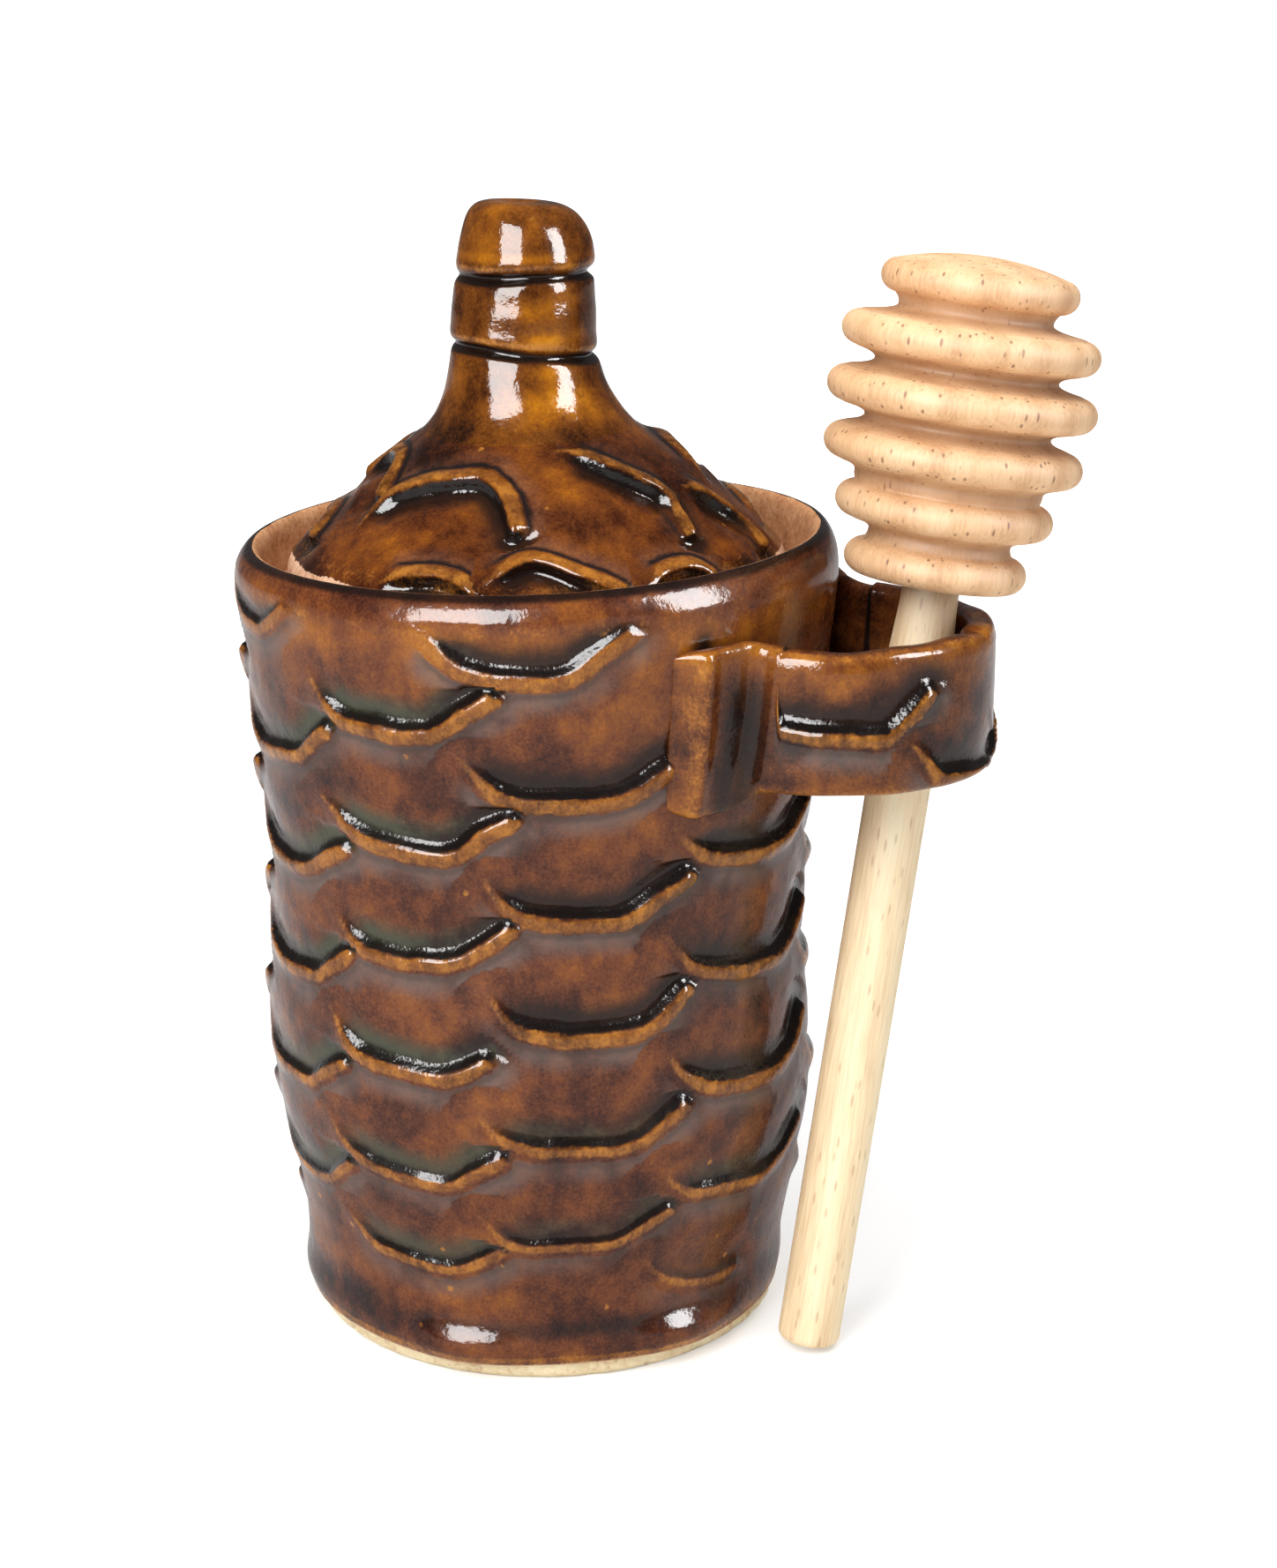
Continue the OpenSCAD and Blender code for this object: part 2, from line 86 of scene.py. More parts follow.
def denseLine(points, count, spread=0.0):
    # a polyline cut into even steps, its corners softened
    points = np.array(points, float)
    steps = np.concatenate([[0], np.cumsum(np.linalg.norm(np.diff(points, axis=0), axis=1))])
    t = np.linspace(0, steps[-1], count)
    line = np.stack([np.interp(t, steps, points[:, k]) for k in range(points.shape[1])], 1)
    if spread > 0:
        step = t[1]
        half = int(3 * spread / step) + 1
        kernel = np.exp(-0.5 * (np.arange(-half, half + 1) * step / spread) ** 2)
        kernel /= kernel.sum()
        ends = line[0].copy(), line[-1].copy()
        for k in range(line.shape[1]):
            before = 2 * line[0, k] - line[half:0:-1, k]
            after = 2 * line[-1, k] - line[-2:-half - 2:-1, k]
            line[:, k] = np.convolve(np.concatenate([before, line[:, k], after]), kernel, "valid")
        line[0], line[-1] = ends
    return line


def harmonics(seed, angle, amount, orders=(2, 3, 5, 7)):
    # a slow, hand-made waver round a circle
    rng = np.random.default_rng(seed)
    total = 0
    for order in orders:
        total = total + rng.normal() / order * np.cos(np.radians(angle) * order + rng.uniform(0, 6.28))
    return amount * total


def linked(name, data):
    made = bpy.data.objects.new(name, data)
    bpy.context.collection.objects.link(made)
    return made


def writeAttribute(mesh, name, values):
    values = np.asarray(values, np.float32)
    if values.ndim == 2:
        mesh.attributes.new(name, "FLOAT_VECTOR", "POINT").data.foreach_set("vector", values.ravel())
    else:
        mesh.attributes.new(name, "FLOAT", "POINT").data.foreach_set("value", values.ravel())


def skinMesh(name, points, attributes=(), joinEnds=True, ring=False, poles=(None, None), caps=False):
    # points: lines x stations x 3, in millimetres. Lines go round, stations go along
    lines, stations = points.shape[:2]
    index = np.arange(lines * stations).reshape(lines, stations)
    nextLine = np.roll(index, -1, 0) if joinEnds else index[1:]
    first = index if joinEnds else index[:-1]
    if ring:
        quads = np.stack([first, np.roll(first, -1, 1), np.roll(nextLine, -1, 1), nextLine], -1)
    else:
        quads = np.stack([first[:, :-1], first[:, 1:], nextLine[:, 1:], nextLine[:, :-1]], -1)
    faces = quads.reshape(-1, 4).tolist()
    vertices = points.reshape(-1, 3)
    extra = {}
    for end, pole in enumerate(poles):
        if pole is None:
            continue
        tip = len(vertices)
        vertices = np.concatenate([vertices, [pole]])
        edge = index[:, 0] if end == 0 else index[:, -1]
        faces += [[int(a), int(b), tip] for a, b in zip(edge, np.roll(edge, -1))]
        extra[tip] = int(edge[0])
    if caps:
        faces += [[int(i) for i in index[0]], [int(i) for i in index[-1]]]
    mesh = bpy.data.meshes.new(name)
    mesh.from_pydata((vertices * mm).tolist(), [], faces)
    for label, values in dict(attributes).items():
        values = np.asarray(values, float)
        flat = values.reshape(lines * stations, -1) if values.ndim == 3 else values.reshape(-1)
        if extra:
            flat = np.concatenate([flat, flat[list(extra.values())]])
        writeAttribute(mesh, label, flat)
    solid = bmesh.new()
    solid.from_mesh(mesh)
    bmesh.ops.recalc_face_normals(solid, faces=solid.faces)
    solid.to_mesh(mesh)
    solid.free()
    mesh.polygons.foreach_set("use_smooth", [True] * len(mesh.polygons))
    return linked(name, mesh)


def lathe(name, outline, around, shape, attributes=None):
    # outline: stations x 2 of (radius, height). shape turns angle, radius, height into a point
    a, r, z = roundGrid(around, *np.asarray(outline, float).T)
    points = shape(a, r, z)
    made = attributes(a, r, z) if attributes else {}
    return skinMesh(name, points, made, poles=(points[:, 0].mean(0), points[:, -1].mean(0)))


# Node helpers


def addNode(tree, kind, **settings):
    node = tree.nodes.new(kind)
    for label, value in settings.items():
        setattr(node, label, value)
    return node


def feed(tree, value, socket):
    if isinstance(value, bpy.types.NodeSocket):
        tree.links.new(value, socket)
    else:
        socket.default_value = value


def feedAll(tree, node, values):
    for label, value in values.items():
        feed(tree, value, node.inputs[label])


def maths(tree, operation, a, b=0.0, c=0.0, clamp=False):
    node = addNode(tree, "ShaderNodeMath", operation=operation, use_clamp=clamp)
    for value, socket in zip((a, b, c), node.inputs):
        feed(tree, value, socket)
    return node.outputs[0]


def times(tree, first, *others):
    for other in others:
        first = maths(tree, "MULTIPLY", first, other)
    return first


def swung(tree, value, pattern, amount):
    # a value carried up and down by a pattern that swings round 0.5
    return maths(tree, "ADD", value, maths(tree, "MULTIPLY", maths(tree, "SUBTRACT", pattern, 0.5), amount))


def vectorMaths(tree, operation, a, b=(0, 0, 0), scale=None):
    node = addNode(tree, "ShaderNodeVectorMath", operation=operation)
    feed(tree, a, node.inputs[0])
    if operation != "SCALE":
        feed(tree, b, node.inputs[1])
    if scale is not None:
        feed(tree, scale, node.inputs["Scale"])
    return node.outputs["Value"] if operation in ("DOT_PRODUCT", "LENGTH") else node.outputs[0]


def smooth(tree, value, low, high, toLow=0.0, toHigh=1.0):
    node = addNode(tree, "ShaderNodeMapRange", interpolation_type="SMOOTHSTEP")
    feedAll(tree, node, {"Value": value, "From Min": low, "From Max": high, "To Min": toLow, "To Max": toHigh})
    return node.outputs[0]


def noise(tree, vector, size, detail=2.0, roughness=0.5, colour=False, distortion=0.0, kind="3D", shift=0.0):
    # size is how big one lump is, in millimetres
    node = addNode(tree, "ShaderNodeTexNoise", noise_dimensions=kind)
    feedAll(tree, node, {"Vector": vector, "Scale": 1000 / size, "Detail": detail, "Roughness": roughness,
                         "Distortion": distortion})
    if kind == "4D":
        feed(tree, shift, node.inputs["W"])
    return node.outputs[1 if colour else 0]


def floatCurve(tree, value, points, low=-1.0, high=1.2):
    node = addNode(tree, "ShaderNodeFloatCurve")
    mapping = node.mapping
    mapping.clip_min_y, mapping.clip_max_y = low, high
    mapping.use_clip = False
    curve = mapping.curves[0]
    while len(curve.points) > 2:
        curve.points.remove(curve.points[1])
    curve.points[0].location = points[0]
    curve.points[1].location = points[-1]
    for x, y in points[1:-1]:
        curve.points.new(x, y)
    mapping.update()
    feed(tree, value, node.inputs["Value"])
    return node.outputs[0]


def mixValue(tree, factor, a, b):
    node = addNode(tree, "ShaderNodeMix", data_type="FLOAT")
    feed(tree, factor, node.inputs[0])
    feed(tree, a, node.inputs[2])
    feed(tree, b, node.inputs[3])
    return node.outputs[0]


def mixColour(tree, factor, a, b, mode="MIX"):
    node = addNode(tree, "ShaderNodeMix", data_type="RGBA", blend_type=mode)
    feed(tree, factor, node.inputs[0])
    feed(tree, a, node.inputs[6])
    feed(tree, b, node.inputs[7])
    return node.outputs[2]


def shades(tree, value, stops):
    node = addNode(tree, "ShaderNodeValToRGB")
    ramp = node.color_ramp
    while len(ramp.elements) > 1:
        ramp.elements.remove(ramp.elements[0])
    ramp.elements[0].position = stops[0][0]
    ramp.elements[0].color = stops[0][1]
    for place, colour in stops[1:]:
        ramp.elements.new(place).color = colour
    feed(tree, value, node.inputs[0])
    return node.outputs[0]


def bumped(tree, height, distance, strength, before=None):
    node = addNode(tree, "ShaderNodeBump")
    feedAll(tree, node, {"Height": height, "Distance": distance, "Strength": strength})
    if before:
        feed(tree, before, node.inputs["Normal"])
    return node.outputs[0]


# Pressed scales


def scaleReliefTree():
    tree = bpy.data.node_groups.new("scaleRelief", "GeometryNodeTree")
    for kind, labels in (("Geometry", ["Geometry"]), ("Object", ["Stamps", "Lip outline", "Own lips"]),
                         ("Float", ["Spread", "Lip height", "Pool depth", "Waver", "Hand lumps", "Seed"]),
                         ("Material", ["Glaze"])):
        for label in labels:
            tree.interface.new_socket(label, in_out="INPUT", socket_type="NodeSocket" + kind)
    tree.interface.new_socket("Geometry", in_out="OUTPUT", socket_type="NodeSocketGeometry")
    given = addNode(tree, "NodeGroupInput").outputs
    result = addNode(tree, "NodeGroupOutput")

    def read(label, kind="FLOAT"):
        node = addNode(tree, "GeometryNodeInputNamedAttribute", data_type=kind)
        node.inputs["Name"].default_value = label
        return node.outputs["Attribute"]

    def store(geometry, label, value):
        node = addNode(tree, "GeometryNodeStoreNamedAttribute", data_type="FLOAT", domain="POINT")
        feedAll(tree, node, {"Name": label, "Geometry": geometry, "Value": value})
        return node.outputs[0]

    def shapeOf(label):
        node = addNode(tree, "GeometryNodeObjectInfo")
        feed(tree, given[label], node.inputs["Object"])
        return node.outputs["Geometry"]

    # one lip for each stamp, turned and sized by the stamp
    turn = addNode(tree, "ShaderNodeCombineXYZ")
    feed(tree, read("turn"), turn.inputs["Z"])
    press = addNode(tree, "GeometryNodeInstanceOnPoints")
    feedAll(tree, press, {"Points": shapeOf("Stamps"), "Instance": shapeOf("Lip outline"),
                          "Rotation": turn.outputs[0], "Scale": read("size")})
    lips = addNode(tree, "GeometryNodeRealizeInstances")
    feed(tree, press.outputs[0], lips.inputs[0])
    # the lips that show in the photograph come with their own measured lines
    joined = addNode(tree, "GeometryNodeJoinGeometry")
    feed(tree, lips.outputs[0], joined.inputs[0])
    feed(tree, shapeOf("Own lips"), joined.inputs[0])
    lipLines = joined.outputs[0]

    # the surface is looked up in its own flat plane, with a little waver
    place = addNode(tree, "GeometryNodeInputPosition").outputs[0]
    drift = vectorMaths(tree, "SUBTRACT", noise(tree, place, 7, 2, colour=True, kind="4D", shift=given["Seed"]),
                        (0.5, 0.5, 0.5))
    flat = vectorMaths(tree, "ADD", read("flat", "FLOAT_VECTOR"),
                       vectorMaths(tree, "MULTIPLY", vectorMaths(tree, "SCALE", drift, scale=given["Waver"]),
                                   (1, 1, 0)))
    near = addNode(tree, "GeometryNodeProximity", target_element="EDGES")
    feed(tree, lipLines, near.inputs[0])
    feed(tree, flat, near.inputs["Sample Position"])
    gap = near.outputs["Distance"]
    nearest = addNode(tree, "GeometryNodeSampleNearest", domain="POINT")
    feedAll(tree, nearest, {"Geometry": lipLines, "Sample Position": flat})

    def fromLip(label, kind="FLOAT"):
        node = addNode(tree, "GeometryNodeSampleIndex", data_type=kind, domain="POINT")
        feedAll(tree, node, {"Geometry": lipLines, "Value": read(label, kind), "Index": nearest.outputs[0]})
        return node.outputs[0]

    offset = vectorMaths(tree, "SUBTRACT", flat, near.outputs["Position"])
    side = maths(tree, "DIVIDE", vectorMaths(tree, "DOT_PRODUCT", offset, fromLip("poolSide", "FLOAT_VECTOR")),
                 maths(tree, "MAXIMUM", gap, 0.02))
    poolShare = smooth(tree, side, -0.45, 0.45)
    force = maths(tree, "MULTIPLY", fromLip("force"), read("pressed"))
    taper = floatCurve(tree, fromLip("along"), [(0, 0.08), (0.12, 0.42), (0.3, 0.95), (0.8, 1), (0.93, 1.15), (1, 1)])
    strength = maths(tree, "MULTIPLY", force, taper)

    # height across a lip, against the distance from its crest
    reach = maths(tree, "DIVIDE", gap, given["Spread"], clamp=True)
    below = floatCurve(tree, reach, [(0, 1), (0.07, 0.86), (0.14, 0.55), (0.21, 0.2), (0.28, -0.04), (0.36, -0.1),
                                     (0.55, 0), (1, 0)])
    above = floatCurve(tree, reach, [(0, 1), (0.035, 0.7), (0.08, 0), (0.13, -0.75), (0.19, -1), (0.3, -0.85),
                                     (0.45, -0.5), (0.68, -0.17), (0.9, 0), (1, 0)])
    profile = mixValue(tree, poolShare, below, above)
    lift = maths(tree, "ADD",
                 maths(tree, "MULTIPLY", maths(tree, "MAXIMUM", profile, 0.0), given["Lip height"]),
                 maths(tree, "MULTIPLY", maths(tree, "MINIMUM", profile, 0.0), given["Pool depth"]))
    lift = maths(tree, "MULTIPLY", lift, strength)
    broad = maths(tree, "SUBTRACT", noise(tree, place, 24, 2, kind="4D", shift=given["Seed"]), 0.5)
    small = maths(tree, "SUBTRACT", noise(tree, place, 5, 2, kind="4D", shift=given["Seed"]), 0.5)
    lumps = maths(tree, "MULTIPLY", maths(tree, "ADD", broad, maths(tree, "MULTIPLY", small, 0.22)),
                  given["Hand lumps"])
    lift = maths(tree, "ADD", lift, maths(tree, "MULTIPLY", lumps, read("pressed")))
    shifted = addNode(tree, "GeometryNodeSetPosition")
    push = vectorMaths(tree, "SCALE", read("outward", "FLOAT_VECTOR"), scale=maths(tree, "MULTIPLY", lift, mm))
    feedAll(tree, shifted, {"Geometry": given["Geometry"], "Offset": push})
    geometry = store(shifted.outputs[0], "lipGap", gap)
    geometry = store(geometry, "lipPool", poolShare)
    geometry = store(geometry, "lipForce", strength)
    whole = addNode(tree, "GeometryNodeRealizeInstances")
    feed(tree, geometry, whole.inputs[0])
    coated = addNode(tree, "GeometryNodeSetMaterial")
    feedAll(tree, coated, {"Geometry": whole.outputs[0], "Material": given["Glaze"]})
    feed(tree, coated.outputs[0], result.inputs[0])
    return tree


def lineMesh(name, lines):
    # lines: list of (points in flat millimetres, pool side of each point, force or None)
    points, edges, along, pool, force = [], [], [], [], []
    for places, sides, weight in lines:
        start = len(points)
        points += [(x, y, 0) for x, y in places]
        edges += [(start + k, start + k + 1) for k in range(len(places) - 1)]
        along += np.linspace(0, 1, len(places)).tolist()
        pool += [(x, y, 0) for x, y in sides]
        force += [weight] * len(places)
    mesh = bpy.data.meshes.new(name)
    mesh.from_pydata(points, edges, [])
    writeAttribute(mesh, "along", along)
    writeAttribute(mesh, "poolSide", np.array(pool))
    if None not in force:
        writeAttribute(mesh, "force", force)
    return linked(name, mesh)


def lipOutline(name, points):
    # the outline that every stamp presses, with its pool above
    line = denseLine(points, 34, 1.0)
    return lineMesh(name, [(line, [(0, 1)] * len(line), None)])


def stampPoints(name, places, seed, jitter, force):
    # places: flat (x, y) of each stamp
    rng = np.random.default_rng(seed)
    places = np.array(places, float)
    count = len(places)
    places = places + rng.normal(0, jitter, places.shape) * [1, 0.4]
    mesh = bpy.data.meshes.new(name)
    mesh.from_pydata([(x, y, 0) for x, y in places], [], [])
    writeAttribute(mesh, "turn", np.radians(rng.normal(0, 1.6, count)))
    writeAttribute(mesh, "size", 1 + rng.normal(0, 0.025, count))
    writeAttribute(mesh, "force", np.clip(rng.normal(force, 0.08, count), 0.4, 1.2))
    return linked(name, mesh)


def pressScales(piece, tree, settings, material, stamps=None, outline=None, own=None):
    modifier = piece.modifiers.new("scales", "NODES")
    modifier.node_group = tree
    inputs = {item.name: item.identifier for item in tree.interface.items_tree
              if item.item_type == "SOCKET" and item.in_out == "INPUT"}
    helpers = {"Stamps": stamps, "Lip outline": outline, "Own lips": own}
    for label, helper in helpers.items():
        if helper:
            modifier[inputs[label]] = helper
    modifier[inputs["Glaze"]] = material
    for label, key in (("Spread", "spread"), ("Lip height", "lipHeight"), ("Pool depth", "poolDepth"),
                       ("Waver", "waver"), ("Hand lumps", "handLumps"), ("Seed", "seed")):
        modifier[inputs[label]] = float(settings[key])
    view = bpy.context.evaluated_depsgraph_get()
    view.update()
    made = bpy.data.meshes.new_from_object(piece.evaluated_get(view), preserve_all_data_layers=True, depsgraph=view)
    piece.modifiers.clear()
    before = piece.data
    piece.data = made
    made.name = piece.name
    bpy.data.meshes.remove(before)
    for helper in helpers.values():
        if helper:
            bpy.data.objects.remove(helper)


# Finishes


def newMaterial(name):
    material = bpy.data.materials.new(name)
    material.use_nodes = True
    tree = material.node_tree
    return material, tree, tree.nodes["Principled BSDF"]


def attributeOf(tree, label):
    return addNode(tree, "ShaderNodeAttribute", attribute_name=label).outputs["Fac"]


def honeyGlaze(name, settings):
    s = settings
    material, tree, shader = newMaterial(name)
    place = addNode(tree, "ShaderNodeTexCoord").outputs["Object"]
    clouds = noise(tree, place, s["cloudSize"], 3, 0.55, distortion=0.4)
    blots = noise(tree, place, 3.8, 4, 0.62)
    grains = noise(tree, place, 0.42, 2, 0.6)
    streaks = noise(tree, vectorMaths(tree, "MULTIPLY", place, (1, 1, 0.4)), 1.7, 3, 0.65)
    mottle = s["mottleMiddle"]
    for pattern, share in zip((clouds, blots, grains, streaks), s["mottleShares"]):
        mottle = swung(tree, mottle, pattern, share)
    mottle = maths(tree, "ADD", mottle, times(tree, attributeOf(tree, "warm"), s["warmShare"]))
    mottle = maths(tree, "ADD", mottle, s["warmth"])
    field = mixColour(tree, 1.0, shades(tree, mottle, s["field"]), s["tone"], "MULTIPLY")

    # the lip's flat crest, the black line and pool on one side, and on the other a blue-grey band that is partly the
    # glaze's own haze and partly painted sheen and shade, all with broken edges
    force = maths(tree, "MINIMUM", attributeOf(tree, "lipForce"), 1.0)
    rawGap = attributeOf(tree, "lipGap")
    gap = swung(tree, rawGap, noise(tree, place, 1.3, 3, 0.65), 1.1)
    pool = attributeOf(tree, "lipPool")
    below = maths(tree, "SUBTRACT", 1.0, pool)
    wide = s["lipBelow"]
    lipWidth = mixValue(tree, pool, times(tree, force, wide), s["lipAbove"])
    onLip = times(tree, smooth(tree, gap, maths(tree, "ADD", lipWidth, 0.3), maths(tree, "SUBTRACT", lipWidth, 0.3)),
                  smooth(tree, force, 0.02, 0.25), smooth(tree, streaks, 0.35, 0.6, 0.35, 1.0))
    # below each lip: the glaze's own blue-grey haze, with painted sheen and painted shade laid into the colour
    hazeAndPaintedSheen = times(tree, smooth(tree, gap, wide, wide + 0.5), smooth(tree, gap, wide + 4.4, wide + 1), below,
                 smooth(tree, force, 0.15, 0.8), smooth(tree, clouds, 0.36, 0.56, 0.35, 1.0))
    under = times(tree, smooth(tree, rawGap, wide, wide + 0.55), smooth(tree, gap, wide + 1.6, wide + 0.7), below,
                  smooth(tree, force, 0.3, 0.9))
    deep = times(tree, smooth(tree, gap, 0.3, 0.8), smooth(tree, gap, 5.4, 2.2), pool, smooth(tree, force, 0.15, 0.8))
    seam = times(tree, smooth(tree, rawGap, 0.2, 0.55), smooth(tree, gap, 2.2, 0.9), pool,
                 smooth(tree, force, 0.1, 0.6))
    thinEdge = swung(tree, swung(tree, attributeOf(tree, "thin"), blots, 0.9), grains, 0.5)
    thinEdge = smooth(tree, thinEdge, 0.25, 0.85)
    dark = smooth(tree, swung(tree, attributeOf(tree, "dark"), blots, 0.5), 0.15, 0.75)
    green = smooth(tree, swung(tree, attributeOf(tree, "green"), blots, 1.6), 0.25, 0.9)
    broken = maths(tree, "ADD", times(tree, grains, 0.3), times(tree, blots, 0.7))
    amber = mixColour(tree, smooth(tree, broken, 0.36, 0.66), s["amberDark"], s["amber"])
    # pale burst specks of amber in the glaze
    specks = addNode(tree, "ShaderNodeTexVoronoi", feature="F1")
    feedAll(tree, specks, {"Vector": place, "Scale": 1000 / 6.0})
    speck = times(tree, smooth(tree, specks.outputs["Distance"], 0.09, 0.05), smooth(tree, blots, 0.48, 0.56))
    # raw clay where the glaze was wiped off, its edge broken by the same grain
    torn = swung(tree, swung(tree, attributeOf(tree, "bare"), blots, 1.3), grains, 0.7)
    bare = smooth(tree, torn, 0.42, 0.58)
    crumbs = maths(tree, "ADD", times(tree, noise(tree, place, 0.8, 4, 0.75), 0.6), times(tree, blots, 0.4))

    colour = field
    # the dark marks include painted shade where the loop's strap meets the wall
    for mask, share, over in (
            (hazeAndPaintedSheen, s["hazeAndPaintedSheenShare"], s["hazeAndPaintedSheen"]), (under, s["underShare"], s["under"]),
            (deep, s["poolShare"], mixColour(tree, green, s["poolDark"], s["poolGreen"])), (seam, 0.93, s["seam"]),
            (onLip, s["lipShare"], amber), (thinEdge, 0.88, amber), (dark, 0.95, s["seam"]),
            (speck, 0.6, s["amber"]), (bare, 1.0, shades(tree, crumbs, s["clay"]))):
        colour = mixColour(tree, times(tree, mask, share), colour, over)
    gloss = smooth(tree, noise(tree, place, 9, 3, 0.6), 0.3, 0.75, s["glossy"], s["matt"])
    gloss = swung(tree, maths(tree, "ADD", gloss, times(tree, hazeAndPaintedSheen, 0.2)), grains, 0.25)

    # orange peel over all, and a fine crinkle that breaks the gleams up
    peel = bumped(tree, noise(tree, place, 1.9, 3, 0.6), 0.00016, s["orangePeel"])
    rough = mixValue(tree, times(tree, deep, s["poolCrinkle"]), s["grit"], 1.0)
    coarse = times(tree, noise(tree, place, 0.7, 5, 0.75), 4.0)
    crinkle = bumped(tree, mixValue(tree, bare, noise(tree, place, 0.5, 2, 0.5), coarse), 0.00006,
                     mixValue(tree, bare, rough, 1.0), peel)
    feedAll(tree, shader, {
        "Base Color": colour, "Roughness": mixValue(tree, bare, gloss, 0.92),
        "Coat Weight": mixValue(tree, bare, s["coat"], 0.0), "Coat Roughness": s["coatRoughness"], "Coat IOR": 1.5,
        "IOR": 1.45, "Specular IOR Level": s["specular"], "Normal": crinkle, "Coat Normal": crinkle})
    return material


def rawClay(name, settings):
    material, tree, shader = newMaterial(name)
    place = addNode(tree, "ShaderNodeTexCoord").outputs["Object"]
    grog = noise(tree, place, 0.9, 6, 0.7)
    tone = maths(tree, "ADD", times(tree, grog, 0.6), times(tree, noise(tree, place, 6, 3), 0.4))
    stain = smooth(tree, noise(tree, place, 3.2, 4, 0.65), 0.56, 0.7)
    body = mixColour(tree, times(tree, stain, settings["stained"]), shades(tree, tone, settings["shades"]),
                     settings["stain"])
    grit = maths(tree, "ADD", grog, times(tree, noise(tree, place, 0.3, 3, 0.6), 0.5))
    feedAll(tree, shader, {
        "Base Color": body, "Roughness": smooth(tree, grog, 0.3, 0.7, 0.8, 0.97), "Specular IOR Level": 0.25,
        "Normal": bumped(tree, grit, 0.00035, 0.8)})
    return material


# The pot's wall

wallSettings = {
    "around": 400, "outsideRows": 196, "thickness": 4.0, "waveHeight": 1.2, "waveSide": 23,
    "left": -157, "spread": 9, "lipHeight": 0.72, "poolDepth": 0.8, "waver": 1.3, "handLumps": 0.7, "seed": 3,
    "reach": 41.6, "footEdge": 2.8, "rimStart": 105.6, "loopHalf": 41.5, "loopLow": 77,
    # rim section: offset in from the outer face, height
    "rim": [(0.0, 105.6), (0.14, 107.4), (0.48, 109.0), (0.98, 110.2), (1.65, 111.2), (2.35, 111.75),
            (3.0, 111.75), (3.5, 111.25), (3.85, 110.3), (4.0, 108.8)],
    # where the foot is thumbed out over the slab: angle, half width in degrees, how far
    "thumbs": [(-87, 16, 1.8), (-34, 16, 1.9), (-150, 22, 0.7), (60, 30, 0.9), (150, 30, 0.8)],
    "thumbLeast": 0.4, "thumbHeight": 5.2, "thumbTall": 3.0,
    # measured (height, radius) of the two sides seen in the photograph
    "leftSide": [(108, 41.7), (100.7, 40.9), (93, 40.0), (86, 39.4), (78, 38.7), (70, 38.0), (62.6, 38.1),
                 (54.8, 38.4), (49.6, 38.95), (41.6, 38.8), (36, 38.7), (30.7, 37.7), (22.4, 36.0),
                 (16.8, 34.8), (14, 34.5), (8.4, 34.4), (4, 33.5)],
    "rightSide": [(110.6, 41.5), (100, 40.6), (93, 39.7), (80, 38.4), (66.6, 37.2), (53.5, 36.9), (46.2, 37.4),
                  (39.3, 38.1), (31.7, 38.0), (20.4, 36.4), (15.3, 35.0), (8.1, 33.9), (4, 33.2)],
}
